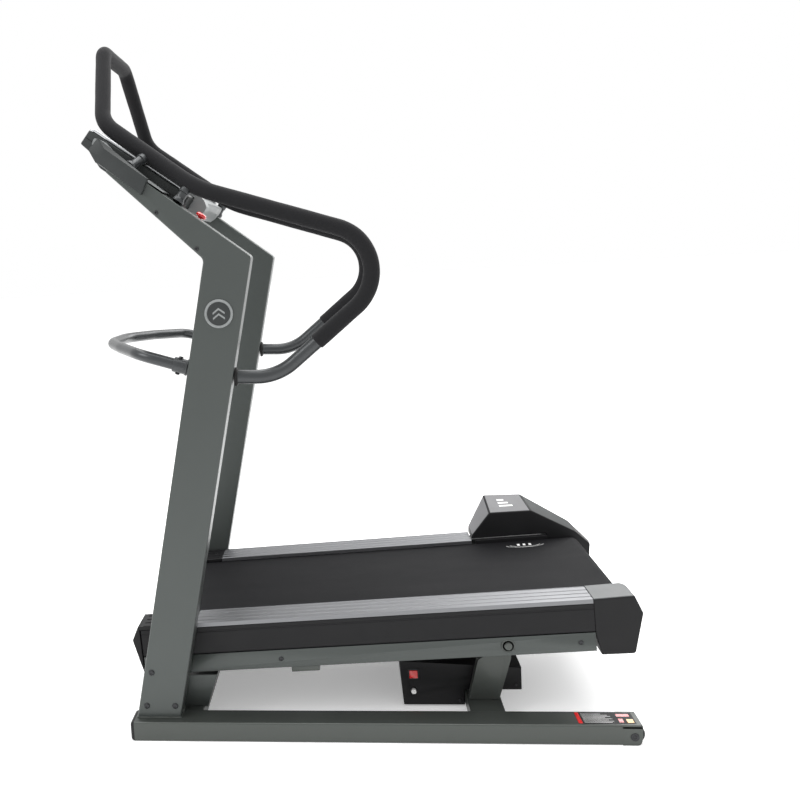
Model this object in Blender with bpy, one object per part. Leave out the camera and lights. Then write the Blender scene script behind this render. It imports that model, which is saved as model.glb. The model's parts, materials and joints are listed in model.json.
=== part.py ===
"""Motorised incline trainer: a base frame with leaning uprights, a console, a continuous padded
handrail, and a running deck that tilts about a pivot near its rear end.

Metres, +Z up. +X is the rear of the machine, +Y the side with the tall drive hood. Lengths along the
machine are measured from the front end of the base rails; FRONT_X shifts them so that the world
origin lies on the floor under the middle of the whole machine.
"""

import math

import bmesh
import bpy
from mathutils import Matrix, Vector

# ---------------------------------------------------------------- driving dimensions
FRONT_X = -0.6619          # world X of the base rails' front end
FIT = 0.0003               # gap kept where two pieces touch
RUNNING_FIT = 0.0004       # radial clearance of a pin in its bore

RAIL_LENGTH = 1.347
RAIL_OUTER_Y = 0.454
RAIL_WIDTH = 0.080
RAIL_HEIGHT = 0.055
RAIL_WALL = 0.003

UPRIGHT_OUTER_Y = 0.4246
UPRIGHT_WIDTH = 0.0687
UPRIGHT_FOOT_X = 0.005
UPRIGHT_DEPTH = 0.124
ELBOW_X = 0.276
ELBOW_Z = 1.320
ARM_TIP = (0.029, 1.566)
ARM_TOP_TIP = (0.058, 1.594)
SHEET = 0.004              # wall of the welded box sections

TUBE_RADIUS = 0.019
TUBE_BORE = 0.0160
FOAM_RADIUS = 0.022
FOAM_BORE = TUBE_RADIUS + RUNNING_FIT
HANDRAIL_Y = 0.390
BAR_RADIUS = 0.016
HANDRAIL_Z = 1.003
HOOP_Y = 0.133             # half width of the hoop over the console
HOOP_Z = 1.932
ARM_TUBE_Y = 0.303         # half width where the tubes turn up to the hoop

PIVOT_X = 1.032
PIVOT_Z = 0.228
DECK_SLOPE = math.radians(3.0)
PIVOT_DEPTH = 0.116        # pivot below the top face of the side rails
DECK_HALF = 0.349
BELT_ZONE = 0.2455         # half width of the gap between the side rails
BELT_HALF = 0.2425
DECK_FRONT = -1.0165       # along the deck, from the pivot
DECK_REAR = 0.2295         # where the rear caps start
FOOT_RAIL_START = -0.853
SKIRT_DROP = 0.0925
FRAME_DROP = 0.144
ROLLER_RADIUS = 0.0255
FRONT_ROLLER_U = -0.985
REAR_ROLLER_U = 0.300
ROLLER_DROP = 0.0405
BELT_THICKNESS = 0.003
PIN_RADIUS = 0.008

WHEEL_RADIUS = 0.0245
WHEEL_X = 1.330
WHEEL_Z = 0.0270

LIFT_Y = 0.130
LIFT_FOOT = (0.790, 0.054)
LIFT_HEAD = (0.465, 0.1275)
BAR_FOOT_Z = 1.033

BOX_FACE_Y = -0.240
BOX_REAR = 1.083
MAINS_SWITCH = (0.782, 0.099)
RESET_SPOT = (0.781, 0.048)

CONSOLE_SLOPE = math.atan2(0.754, 1.0)

NEAR, FAR = -1, 1
SIDES = {"near": NEAR, "far": FAR}

# name: colour, roughness, metallic
FINISHES = {
    "frame_paint": ((0.060, 0.070, 0.066), 0.42, 0.45),
    "rail_paint": ((0.045, 0.048, 0.050), 0.45, 0.35),
    "black_plastic": ((0.012, 0.012, 0.013), 0.48, 0.0),
    "dark_plastic": ((0.035, 0.037, 0.038), 0.40, 0.0),
    "silver": ((0.62, 0.63, 0.64), 0.32, 0.9),
    "light_plastic": ((0.48, 0.50, 0.50), 0.38, 0.0),
    "steel": ((0.45, 0.45, 0.46), 0.35, 1.0),
    "foam": ((0.018, 0.018, 0.019), 0.85, 0.0),
    "belt": ((0.016, 0.016, 0.018), 0.75, 0.0),
    "rubber": ((0.014, 0.014, 0.014), 0.7, 0.0),
    "board": ((0.22, 0.14, 0.08), 0.6, 0.0),
    "glass": ((0.01, 0.01, 0.012), 0.08, 0.0),
    "red": ((0.62, 0.02, 0.02), 0.28, 0.0),
    "white": ((0.85, 0.85, 0.85), 0.35, 0.0),
}


# ---------------------------------------------------------------- building blocks
def clear_scene():
    for obj in list(bpy.data.objects):
        bpy.data.objects.remove(obj, do_unlink=True)


def material(name, finish):
    colour, roughness, metallic = FINISHES[finish]
    made = bpy.data.materials.new(name)
    made.use_nodes = True
    shader = made.node_tree.nodes["Principled BSDF"]
    shader.inputs["Base Color"].default_value = (*colour, 1.0)
    shader.inputs["Roughness"].default_value = roughness
    shader.inputs["Metallic"].default_value = metallic
    made.diffuse_color = (*colour, 1.0)
    return made


def add_object(name, bm, finish, origin=(0.0, 0.0, 0.0), parent=None, smooth=False):
    """Turn a bmesh into an object whose origin is at `origin`, under `parent` or in the machine's frame."""
    bmesh.ops.recalc_face_normals(bm, faces=bm.faces)
    mesh = bpy.data.meshes.new(name)
    bm.transform(Matrix.Translation(-Vector(origin)))
    bm.to_mesh(mesh)
    bm.free()
    obj = bpy.data.objects.new(name, mesh)
    bpy.context.scene.collection.objects.link(obj)
    obj.parent = parent if parent else MACHINE
    obj.location = origin
    if finish:
        mesh.materials.append(material(name, finish))
    if smooth:
        mesh.shade_smooth()
        mesh.set_sharp_from_angle(angle=math.radians(35))
    return obj


def empty(name, location, parent=None, pitch=0.0):
    obj = bpy.data.objects.new(name, None)
    bpy.context.scene.collection.objects.link(obj)
    obj.location = location
    obj.rotation_euler = (0.0, -pitch, 0.0)
    obj.parent = parent
    return obj


def prism_mesh(outline, y0, y1, far_outline=None):
    """A closed solid between an (x, z) outline at y0 and the same or another outline at y1."""
    bm = bmesh.new()
    low, high = sorted((y0, y1))
    first = [bm.verts.new((x, low, z)) for x, z in outline]
    second = [bm.verts.new((x, high, z)) for x, z in (far_outline or outline)]
    bm.faces.new(first)
    bm.faces.new(list(reversed(second)))
    count = len(first)
    for i in range(count):
        j = (i + 1) % count
        bm.faces.new((first[j], first[i], second[i], second[j]))
    return bm


def prism(name, outline, y0, y1, finish, **options):
    return add_object(name, prism_mesh(outline, y0, y1), finish, **options)


def rectangle(x0, x1, z0, z1):
    return [(x0, z0), (x1, z0), (x1, z1), (x0, z1)]


def block(name, x0, x1, y0, y1, z0, z1, finish, **options):
    return prism(name, rectangle(x0, x1, z0, z1), y0, y1, finish, **options)


def cylinder_mesh(centre, axis, radius, length, sides=32):
    """A closed cylinder about `centre` along `axis`."""
    bm = bmesh.new()
    turn = Vector((0, 0, 1)).rotation_difference(Vector(axis)).to_matrix().to_4x4()
    bmesh.ops.create_cone(bm, cap_ends=True, segments=sides, radius1=radius, radius2=radius,
                          depth=length, matrix=Matrix.Translation(centre) @ turn)
    return bm


def cylinder(name, centre, axis, radius, length, finish, sides=32, **options):
    return add_object(name, cylinder_mesh(centre, axis, radius, length, sides), finish, smooth=True, **options)


def turned_mesh(profile, centre, axis, sides=32):
    """A closed turned solid: (distance along axis, radius) pairs from one end face to the other."""
    bm = bmesh.new()
    turn = Matrix.Translation(centre) @ Vector((0, 0, 1)).rotation_difference(Vector(axis)).to_matrix().to_4x4()
    rings = []
    for along, radius in profile:
        ring = []
        for i in range(sides):
            angle = 2 * math.pi * i / sides
            ring.append(bm.verts.new(turn @ Vector((radius * math.cos(angle), radius * math.sin(angle), along))))
        rings.append(ring)
    bm.faces.new(rings[0])
    bm.faces.new(list(reversed(rings[-1])))
    for lower, upper in zip(rings, rings[1:]):
        for i in range(sides):
            j = (i + 1) % sides
            bm.faces.new((lower[i], lower[j], upper[j], upper[i]))
    return bm


def turned(name, profile, centre, axis, finish, sides=32, **options):
    return add_object(name, turned_mesh(profile, centre, axis, sides), finish, smooth=True, **options)


def combine(target, bm, operation):
    """Add a Boolean with a guide solid to `target`; the guide stays out of the model."""
    guide = add_object(target.name + "_guide", bm, None, parent=target.parent)
    guide.hide_render = True
    guide.display_type = "WIRE"
    guide.name = f"{target.name}_{operation.lower()}_{len(target.modifiers)}"
    modifier = target.modifiers.new(operation.title(), "BOOLEAN")
    modifier.operation = operation
    modifier.solver = "EXACT"
    modifier.object = guide
    return target


def cut(target, bm):
    return combine(target, bm, "DIFFERENCE")


def unite(target, bm):
    return combine(target, bm, "UNION")


def soften(target, width, segments=2):
    modifier = target.modifiers.new("Edges", "BEVEL")
    modifier.width = width
    modifier.segments = segments
    modifier.limit_method = "ANGLE"
    modifier.angle_limit = math.radians(40)
    return target


def filleted(corners, radii, step=math.radians(12)):
    """A path through `corners` with an arc of the given radius at each inner corner."""
    points = [Vector(corners[0])]
    for before, corner, after, radius in zip(corners, corners[1:], corners[2:], radii):
        corner = Vector(corner)
        back = (Vector(before) - corner).normalized()
        ahead = (Vector(after) - corner).normalized()
        half = back.angle(ahead) / 2
        reach = radius / math.tan(half)
        centre = corner + (back + ahead).normalized() * radius / math.sin(half)
        start = corner + back * reach - centre
        end = corner + ahead * reach - centre
        sweep = start.angle(end)
        count = max(2, math.ceil(sweep / step))
        for i in range(count + 1):
            share = i / count
            arm = (start * math.sin((1 - share) * sweep) + end * math.sin(share * sweep)) / math.sin(sweep)
            points.append(centre + arm)
    points.append(Vector(corners[-1]))
    return points


def stations(path, gap):
    """The path again with its long straight runs split into lengths of at most `gap`."""
    out = [path[0]]
    for a, b in zip(path, path[1:]):
        pieces = max(1, math.ceil((b - a).length / gap))
        out.extend(a.lerp(b, i / pieces) for i in range(1, pieces + 1))
    return out


def tube_mesh(path, radius, sides=12):
    """A closed round bar swept along the path, its rings kept from twisting."""
    bm = bmesh.new()
    tangents = []
    for i, point in enumerate(path):
        before = path[max(i - 1, 0)]
        after = path[min(i + 1, len(path) - 1)]
        tangents.append((after - before).normalized())
    across = tangents[0].orthogonal().normalized()
    rings = []
    for point, tangent in zip(path, tangents):
        across = (across - tangent * across.dot(tangent)).normalized()
        other = tangent.cross(across)
        ring = []
        for k in range(sides):
            angle = 2 * math.pi * (k + 0.5) / sides
            ring.append(bm.verts.new(point + (across * math.cos(angle) + other * math.sin(angle)) * radius))
        rings.append(ring)
    bm.faces.new(rings[0])
    bm.faces.new(list(reversed(rings[-1])))
    for lower, upper in zip(rings, rings[1:]):
        for k in range(sides):
            j = (k + 1) % sides
            bm.faces.new((lower[k], lower[j], upper[j], upper[k]))
    return bm


def mirrored(points):
    """The path carried on to its mirror image on the other side of the machine."""
    other = [Vector((p.x, -p.y, p.z)) for p in reversed(points)]
    return points + other


# ---------------------------------------------------------------- base
def base_rail(label, side):
    inner = RAIL_OUTER_Y - RAIL_WIDTH
    rail = block(f"base_rail_{label}", 0, RAIL_LENGTH, side * inner, side * RAIL_OUTER_Y, 0, RAIL_HEIGHT,
                 "rail_paint")
    soften(rail, 0.004)
    margin = 0.05
    cut(rail, prism_mesh(rectangle(-margin, RAIL_LENGTH + margin, RAIL_WALL, RAIL_HEIGHT - RAIL_WALL),
                         side * (inner + RAIL_WALL), side * (RAIL_OUTER_Y - RAIL_WALL)))
    notch_start = WHEEL_X - WHEEL_RADIUS - 0.006
    cut(rail, prism_mesh(rectangle(notch_start, RAIL_LENGTH + margin, -margin, 2 * RAIL_WALL),
                         side * (inner + RAIL_WALL), side * (RAIL_OUTER_Y - RAIL_WALL)))


def rail_cap(label, side):
    inner = RAIL_OUTER_Y - RAIL_WIDTH
    bulge = [(-FIT, 0.001), (-0.008, 0.004), (-0.0115, 0.0275), (-0.008, 0.051), (-FIT, 0.054)]
    cap = prism(f"rail_cap_{label}", bulge, side * (inner + 0.001), side * (RAIL_OUTER_Y - 0.001),
                "black_plastic")
    soften(cap, 0.002)


def transport_wheel(label, side):
    centre_y = side * (RAIL_OUTER_Y - RAIL_WIDTH / 2)
    half = RAIL_WIDTH / 2 - RAIL_WALL - 0.004
    centre = (WHEEL_X, centre_y, WHEEL_Z)
    stub = RAIL_WIDTH / 2 - RAIL_WALL - FIT
    profile = [(-stub, 0.006), (-half, 0.006), (-half, WHEEL_RADIUS - 0.003), (-half + 0.003, WHEEL_RADIUS),
               (half - 0.003, WHEEL_RADIUS), (half, WHEEL_RADIUS - 0.003), (half, 0.006), (stub, 0.006)]
    turned(f"transport_wheel_{label}", profile, centre, (0, 1, 0), "rubber", origin=centre)


def crossbars():
    reach = RAIL_OUTER_Y - RAIL_WIDTH - FIT
    front = prism("front_crossbeam", rectangle(0.060, 0.185, 0.010, 0.050), -reach, reach, "rail_paint")
    soften(front, 0.003)
    rear = prism("rear_crossbeam", rectangle(0.925, 1.018, 0.008, 0.050), -reach, reach, "rail_paint")
    soften(rear, 0.003)
    lean = (0.229 - 0.191) / 0.110
    foot, top = 0.0503, 0.146
    stand = [(0.070, foot), (0.194, foot), (0.194 + lean * (top - foot), top - 0.002), (0.100, top - 0.004)]
    unite(front, prism_mesh([(x, z - 0.003 if z == foot else z) for x, z in stand], -0.340, 0.340))
    through = RAIL_OUTER_Y
    cut(front, prism_mesh(rectangle(0.064, 0.181, 0.014, 0.046), -through, through))
    cut(front, prism_mesh([(0.078, 0.054), (0.191, 0.054), (0.218, 0.139), (0.104, 0.137)], -through, through))
    cut(rear, prism_mesh(rectangle(0.929, 1.014, 0.012, 0.046), -through, through))


def lift_bracket():
    """Plate that runs forward from the rear crossbeam and holds the actuator's lower pin between two ears."""
    foot_x, foot_z = LIFT_FOOT
    bar = block("lift_bracket", foot_x - 0.026, 0.925 - FIT, LIFT_Y - 0.036, LIFT_Y + 0.036, 0.010, 0.024,
                "rail_paint")
    for edge in (-1, 1):
        inner = LIFT_Y + edge * 0.0165
        outer = LIFT_Y + edge * 0.0245
        ear = [(foot_x - 0.022, 0.020), (foot_x + 0.022, 0.020), (foot_x + 0.012, foot_z + 0.016),
               (foot_x - 0.012, foot_z + 0.016)]
        unite(bar, prism_mesh(ear, inner, outer))
    unite(bar, cylinder_mesh((foot_x, LIFT_Y, foot_z), (0, 1, 0), PIN_RADIUS, 0.036, 24))


# ---------------------------------------------------------------- uprights
def upright(label, side):
    outer = side * UPRIGHT_OUTER_Y
    inner = side * (UPRIGHT_OUTER_Y - UPRIGHT_WIDTH)
    foot_z = RAIL_HEIGHT + FIT
    rear_foot = UPRIGHT_FOOT_X + UPRIGHT_DEPTH
    outline = [(UPRIGHT_FOOT_X, foot_z), (rear_foot, foot_z), (ELBOW_X + UPRIGHT_DEPTH + 0.002, ELBOW_Z),
               ARM_TOP_TIP, ARM_TIP, (ELBOW_X, ELBOW_Z)]
    post = prism(f"upright_{label}", outline, inner, outer, "frame_paint")
    soften(post, 0.005)
    wall = SHEET
    hollow = [(UPRIGHT_FOOT_X + wall, foot_z - 0.03), (rear_foot - wall, foot_z - 0.03),
              (ELBOW_X + UPRIGHT_DEPTH - wall, ELBOW_Z - 0.002), (ARM_TOP_TIP[0] + 0.03, ARM_TOP_TIP[1] - 0.032),
              (ARM_TIP[0] + 0.03, ARM_TIP[1] - 0.022), (ELBOW_X + wall, ELBOW_Z + 0.004)]
    cut(post, prism_mesh(hollow, inner - math.copysign(wall, inner) + side * 2 * wall, outer - side * wall))


def upright_badge(label, side):
    centre = (0.308, side * (UPRIGHT_OUTER_Y + 0.002 + FIT), 1.176)
    cylinder(f"badge_{label}", centre, (0, 1, 0), 0.038, 0.004, "light_plastic", sides=40)


# ---------------------------------------------------------------- handrail
def handrail_half():
    """The near half of the handrail: out of the upright, round the loop, along the arm, up to the hoop."""
    y = -HANDRAIL_Y
    start_x = UPRIGHT_FOOT_X + UPRIGHT_DEPTH + (ELBOW_X - UPRIGHT_FOOT_X) * (HANDRAIL_Z - RAIL_HEIGHT) / (
        ELBOW_Z - RAIL_HEIGHT) + 0.0052
    corners = [(start_x, y, HANDRAIL_Z), (0.450, y, HANDRAIL_Z - 0.006), (0.834, y, 1.309),
               (0.262, y + 0.006, 1.509), (0.004, -ARM_TUBE_Y, 1.709), (-0.020, -HOOP_Y, HOOP_Z),
               (-0.020, 0.0, HOOP_Z)]
    return filleted(corners, [0.150, 0.1215, 0.250, 0.095, 0.045])


def handrail():
    half = handrail_half()
    path = stations(mirrored(half[:-1]), 0.12)
    pipe = add_object("handrail_tube", tube_mesh(path, TUBE_RADIUS), "frame_paint", smooth=True)
    lead = (path[0] - path[1]).normalized() * 0.02
    tail = (path[-1] - path[-2]).normalized() * 0.02
    cut(pipe, tube_mesh([path[0] + lead] + path + [path[-1] + tail], TUBE_BORE))
    start = next(i for i, p in enumerate(path) if p.x > 0.545)
    sleeve_path = path[start:len(path) - start]
    sleeve = add_object("handrail_foam", tube_mesh(sleeve_path, FOAM_RADIUS, 16), "foam", smooth=True)
    cut(sleeve, tube_mesh(path, FOAM_BORE))


def handrail_posts():
    """Round posts that stand square on the arms and carry the handrail."""
    normal = Vector((math.sin(CONSOLE_SLOPE), 0, math.cos(CONSOLE_SLOPE)))
    for label, side in SIDES.items():
        for place, foot_x in (("front", 0.088), ("rear", 0.210)):
            fall = (ARM_TOP_TIP[1] - ELBOW_Z) / (ELBOW_X + UPRIGHT_DEPTH - ARM_TOP_TIP[0])
            foot_z = ARM_TOP_TIP[1] - (foot_x - ARM_TOP_TIP[0]) * fall
            foot = Vector((foot_x, side * HANDRAIL_Y, foot_z)) + normal * 0.0100
            tip = nearest_on_handrail(foot, side)
            length = (tip - foot).length - FOAM_RADIUS - 0.0010
            direction = (tip - foot).normalized()
            cylinder(f"rail_post_{place}_{label}", foot + direction * length / 2, direction, 0.013, length,
                     "frame_paint", sides=20)


def nearest_on_handrail(point, side):
    """The point of the handrail's centre line that lies closest to `point` on its top run."""
    path = stations(handrail_half(), 0.01)
    top_run = [Vector((p.x, -side * p.y, p.z)) for p in path if p.z > 1.40]
    return min(top_run, key=lambda p: (p - point).length)


def front_bar():
    """The U-shaped bar across the front; a sleeve at each end is cut to the upright's leaning face."""
    reach = 0.2095
    corners = [(reach, -HANDRAIL_Y, BAR_FOOT_Z), (0.080, -HANDRAIL_Y + 0.001, BAR_FOOT_Z + 0.0415),
               (-0.008, -0.235, BAR_FOOT_Z + 0.051), (-0.070, -0.095, BAR_FOOT_Z + 0.055),
               (-0.070, 0.0, BAR_FOOT_Z + 0.055)]
    half = filleted(corners, [0.075, 0.200, 0.200])
    path = stations(mirrored(half[:-1]), 0.10)
    bar = add_object("front_bar", tube_mesh(path, BAR_RADIUS), "frame_paint", smooth=True)
    face = [(UPRIGHT_FOOT_X - FIT, RAIL_HEIGHT), (0.60, RAIL_HEIGHT), (0.60, ELBOW_Z), (ELBOW_X - FIT, ELBOW_Z)]
    cut(bar, prism_mesh(face, -RAIL_OUTER_Y, RAIL_OUTER_Y))
    ahead = (half[0] - half[1]).normalized()
    for label, side in SIDES.items():
        direction = Vector((ahead.x, 0, ahead.z)).normalized()
        centre = Vector((half[0].x, side * HANDRAIL_Y, half[0].z)) - direction * 0.020
        sleeve = cylinder(f"bar_sleeve_{label}", centre, direction, 0.0205, 0.070, "frame_paint", sides=24)
        cut(sleeve, cylinder_mesh(centre, direction, BAR_RADIUS + 2 * RUNNING_FIT, 0.16))
        cut(sleeve, prism_mesh(face, -RAIL_OUTER_Y, RAIL_OUTER_Y))


# ---------------------------------------------------------------- console
def console_frame(s, h):
    """(x, z) of a point `s` along the console's slope from its upper end and `h` above the arms' top."""
    x = s * math.cos(CONSOLE_SLOPE) - 0.010 + h * math.sin(CONSOLE_SLOPE)
    z = 1.6445 - s * math.sin(CONSOLE_SLOPE) + h * math.cos(CONSOLE_SLOPE)
    return x, z


def console_outline(points):
    return [console_frame(s, h) for s, h in points]


def console():
    inner = UPRIGHT_OUTER_Y - UPRIGHT_WIDTH - FIT
    shell = console_outline([(-0.040, -0.018), (-0.010, -0.022), (0.040, -0.044), (0.250, -0.046), (0.290, -0.012),
                             (0.290, 0.0275), (-0.038, 0.0275)])
    soften(prism("console_shell", shell, -inner + 0.012, inner - 0.012, "dark_plastic"), 0.004)
    face = 0.0278
    bezel = console_outline([(-0.034, face), (0.262, face), (0.258, face + 0.006), (-0.030, face + 0.006)])
    rim = prism("console_bezel", bezel, -inner + 0.020, inner - 0.020, "silver")
    screen_window = console_outline([(0.000, face - 0.01), (0.105, face - 0.01), (0.105, face + 0.02),
                                     (0.000, face + 0.02)])
    cut(rim, prism_mesh(screen_window, -0.150, 0.150))
    keys_window = console_outline([(0.125, face - 0.01), (0.235, face - 0.01), (0.235, face + 0.02),
                                   (0.125, face + 0.02)])
    cut(rim, prism_mesh(keys_window, -0.220, 0.220))
    screen = console_outline([(0.0005, face), (0.1045, face), (0.1045, face + 0.003), (0.0005, face + 0.003)])
    prism("console_screen", screen, -0.1495, 0.1495, "glass")
    keys = console_outline([(0.1255, face), (0.2345, face), (0.2345, face + 0.0035), (0.1255, face + 0.0035)])
    prism("console_keypad", keys, -0.2195, 0.2195, "dark_plastic")
    chin = console_outline([(0.2640, 0.0280), (0.2905, 0.0280), (0.2905, -0.0300), (0.322, -0.012), (0.334, 0.008),
                            (0.333, 0.024), (0.318, 0.036), (0.2995, 0.040), (0.2640, 0.034)])
    prism("console_chin", chin, -0.262, 0.262, "light_plastic")


def console_cheek(label, side):
    """A cover outside the tip of the arm, its front end drawn in."""
    seated = console_outline([(0.018, 0.024), (0.188, 0.0085), (0.1965, -0.0365), (0.046, -0.0325),
                              (0.013, -0.0155)])
    raised = console_outline([(0.046, 0.0105), (0.187, 0.0075), (0.195, -0.0355), (0.060, -0.0295),
                              (0.052, -0.012)])
    low, high = (raised, seated) if side == NEAR else (seated, raised)
    shape = prism_mesh(low, side * (UPRIGHT_OUTER_Y + FIT), side * (UPRIGHT_OUTER_Y + 0.013), high)
    add_object(f"console_cheek_{label}", shape, "dark_plastic")


def emergency_stop():
    """Red mushroom button on a bracket inside the near arm, below the console; free to be pressed in."""
    x, z = console_frame(0.340, -0.024)
    normal = Vector((math.sin(CONSOLE_SLOPE), 0, math.cos(CONSOLE_SLOPE)))
    seat = Vector((x, -0.3110, z))
    arm = console_outline([(0.320, -0.050), (0.360, -0.050), (0.360, -0.030), (0.320, -0.030)])
    inner = UPRIGHT_OUTER_Y - UPRIGHT_WIDTH - FIT
    base = prism("estop_base", arm, -inner, -0.2925, "dark_plastic")
    unite(base, cylinder_mesh(seat, normal, 0.0175, 0.022, 24))
    cut(base, cylinder_mesh(seat + normal * 0.008, normal, 0.0075 + RUNNING_FIT, 0.030, 24))
    knob = [(0.001, 0.0072), (0.0185, 0.0072), (0.0185, 0.014), (0.022, 0.0155), (0.028, 0.0135), (0.0305, 0.008)]
    turned("estop_button", knob, seat, normal, "red", sides=24, origin=seat)


# ---------------------------------------------------------------- running deck, in its own tilted frame
def deck_outline(points):
    """Outline given along the deck from the pivot and above the side rails' top face."""
    return [(u, v + PIVOT_DEPTH) for u, v in points]


def deck_block(name, u0, u1, y0, y1, v0, v1, finish, **options):
    outline = deck_outline([(u0, v0), (u1, v0), (u1, v1), (u0, v1)])
    return prism(name, outline, y0, y1, finish, parent=DECK, **options)


def deck_bar(name, u, v, y0, y1, radius, finish, **options):
    centre = (u, (y0 + y1) / 2, v + PIVOT_DEPTH)
    return cylinder(name, centre, (0, 1, 0), radius, abs(y1 - y0), finish, parent=DECK, **options)


def deck_side(label, side):
    """Side member: a tall inner web with a box flange below the skirt."""
    web = 0.3325
    member = deck_block(f"deck_side_{label}", DECK_FRONT + 0.003, DECK_REAR, side * 0.299, side * DECK_HALF,
                        -FRAME_DROP, -SKIRT_DROP, "frame_paint")
    outline = deck_outline([(DECK_FRONT + 0.003, -SKIRT_DROP - 0.010), (DECK_REAR, -SKIRT_DROP - 0.010),
                            (DECK_REAR, -0.0125), (DECK_FRONT + 0.003, -0.0125)])
    unite(member, prism_mesh(outline, side * 0.299, side * web))
    wall, beyond = 0.003, 0.05
    cells = ((0.299, DECK_HALF, -FRAME_DROP, -SKIRT_DROP), (0.299, web, -SKIRT_DROP + wall, -0.0125))
    for inner, outer, low, high in cells:
        cell = deck_outline([(DECK_FRONT - beyond, low + wall), (DECK_REAR + beyond, low + wall),
                             (DECK_REAR + beyond, high - wall), (DECK_FRONT - beyond, high - wall)])
        cut(member, prism_mesh(cell, side * (inner + wall), side * (outer - wall)))
    cut(member, cylinder_mesh((0, side * 0.32, 0), (0, 1, 0), PIN_RADIUS + RUNNING_FIT, 0.12))
    skirt = deck_block(f"side_skirt_{label}", DECK_FRONT + 0.003, DECK_REAR, side * (web + FIT), side * DECK_HALF,
                       -SKIRT_DROP + FIT, -0.0125, "black_plastic")
    return skirt


def side_rail(label, side, u_end):
    """Grooved foot rail: long ribs along its top."""
    start = FOOT_RAIL_START
    ribs = 4
    width = DECK_HALF - BELT_ZONE
    pitch = width / ribs
    low, groove = -0.012, 0.0022
    outline = [(side * BELT_ZONE, low), (side * DECK_HALF, low)]
    for i in range(ribs):
        edge = DECK_HALF - i * pitch
        outline += [(side * edge, 0.0), (side * (edge - pitch * 0.72), 0.0),
                    (side * (edge - pitch * 0.80), -groove), (side * (edge - pitch * 0.92), -groove)]
    outline.append((side * BELT_ZONE, 0.0))
    bm = bmesh.new()
    first = [bm.verts.new((start, y, v + PIVOT_DEPTH)) for y, v in outline]
    second = [bm.verts.new((u_end, y, v + PIVOT_DEPTH)) for y, v in outline]
    bm.faces.new(first)
    bm.faces.new(list(reversed(second)))
    for i in range(len(outline)):
        j = (i + 1) % len(outline)
        bm.faces.new((first[j], first[i], second[i], second[j]))
    add_object(f"foot_rail_{label}", bm, "silver", parent=DECK)


def nose_cover():
    """Corner wedges in front of both side rails, joined by a low guard under the front roller."""
    guard = deck_outline([(DECK_FRONT, -0.084), (DECK_FRONT - 0.0140, -0.084), (DECK_FRONT - 0.008, -0.112),
                          (DECK_FRONT, -FRAME_DROP)])
    nose = prism("nose_cover", guard, -DECK_HALF, DECK_HALF, "black_plastic", parent=DECK)
    wedge = deck_outline([(DECK_FRONT, 0.0), (DECK_FRONT - 0.004, 0.0), (DECK_FRONT - 0.0245, -0.040),
                          (DECK_FRONT - 0.008, -0.112), (DECK_FRONT, -FRAME_DROP)])
    for side in SIDES.values():
        unite(nose, prism_mesh(wedge, side * (BELT_ZONE + 0.0005), side * DECK_HALF))
        plate = deck_outline([(DECK_FRONT - 0.003, -0.0120), (FOOT_RAIL_START - 0.0005, -0.0120),
                              (FOOT_RAIL_START - 0.0005, -0.0001), (DECK_FRONT - 0.003, -0.0001)])
        unite(nose, prism_mesh(plate, side * (BELT_ZONE + 0.0005), side * (DECK_HALF - 0.0005)))


def running_surface():
    deck_block("deck_board", -0.950, 0.265, -0.240, 0.240, -0.0335, -0.0155, "board")
    for label, u in (("front", -0.640), ("rear", 0.060)):
        deck_block(f"deck_cross_{label}", u - 0.020, u + 0.020, -0.2987, 0.2987, -0.0620, -0.0340, "rail_paint")
    belt()


def belt():
    """An endless band round both rollers."""
    outer = ROLLER_RADIUS + BELT_THICKNESS
    inner = ROLLER_RADIUS + FIT

    def loop(radius):
        points = []
        turns = 12
        for i in range(turns + 1):
            angle = -math.pi / 2 + math.pi * i / turns
            points.append((REAR_ROLLER_U + radius * math.cos(angle), -ROLLER_DROP + radius * math.sin(angle)))
        for i in range(turns + 1):
            angle = math.pi / 2 + math.pi * i / turns
            points.append((FRONT_ROLLER_U + radius * math.cos(angle), -ROLLER_DROP + radius * math.sin(angle)))
        return deck_outline(points)

    band = prism("running_belt", loop(outer), -BELT_HALF, BELT_HALF, "belt", parent=DECK, smooth=True)
    cut(band, prism_mesh(loop(inner), -BELT_HALF - 0.05, BELT_HALF + 0.05))


def rollers():
    for label, u in (("front", FRONT_ROLLER_U), ("rear", REAR_ROLLER_U)):
        shaft_end = 0.2975
        profile = [(-shaft_end, 0.008), (-BELT_HALF - 0.002, 0.008), (-BELT_HALF - 0.002, ROLLER_RADIUS),
                   (BELT_HALF + 0.002, ROLLER_RADIUS), (BELT_HALF + 0.002, 0.008), (shaft_end, 0.008)]
        if label == "front":
            profile[-2:] = [(BELT_HALF + 0.002, 0.008), (0.262, 0.008), (0.262, 0.022), (0.280, 0.022),
                            (0.280, 0.008), (shaft_end, 0.008)]
        centre = (u, 0, -ROLLER_DROP + PIVOT_DEPTH)
        turned(f"{label}_roller", profile, centre, (0, 1, 0), "steel", sides=28, parent=DECK, origin=centre)


def drive():
    """Motor under the belt's return run, its pulley and the toothed belt up to the front roller."""
    motor_u, motor_v = -0.880, -0.1080
    deck_bar("drive_motor", motor_u, motor_v, 0.020, 0.245, 0.034, "black_plastic", sides=28)
    centre = (motor_u, 0.265, motor_v + PIVOT_DEPTH)
    profile = [(-0.0195, 0.006), (-0.003, 0.006), (-0.003, 0.016), (0.015, 0.016), (0.015, 0.006), (0.018, 0.006)]
    turned("motor_pulley", profile, centre, (0, 1, 0), "steel", sides=24, parent=DECK, origin=centre)
    start, end = Vector((FRONT_ROLLER_U, -ROLLER_DROP)), Vector((motor_u, motor_v))

    def wrap(grow):
        return tangent_loop(start, 0.022 + grow, end, 0.016 + grow)

    band = prism("drive_belt", deck_outline(wrap(0.0025)), 0.263, 0.279, "rubber", parent=DECK, smooth=True)
    cut(band, prism_mesh(deck_outline(wrap(0.0004)), 0.250, 0.292))


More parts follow.
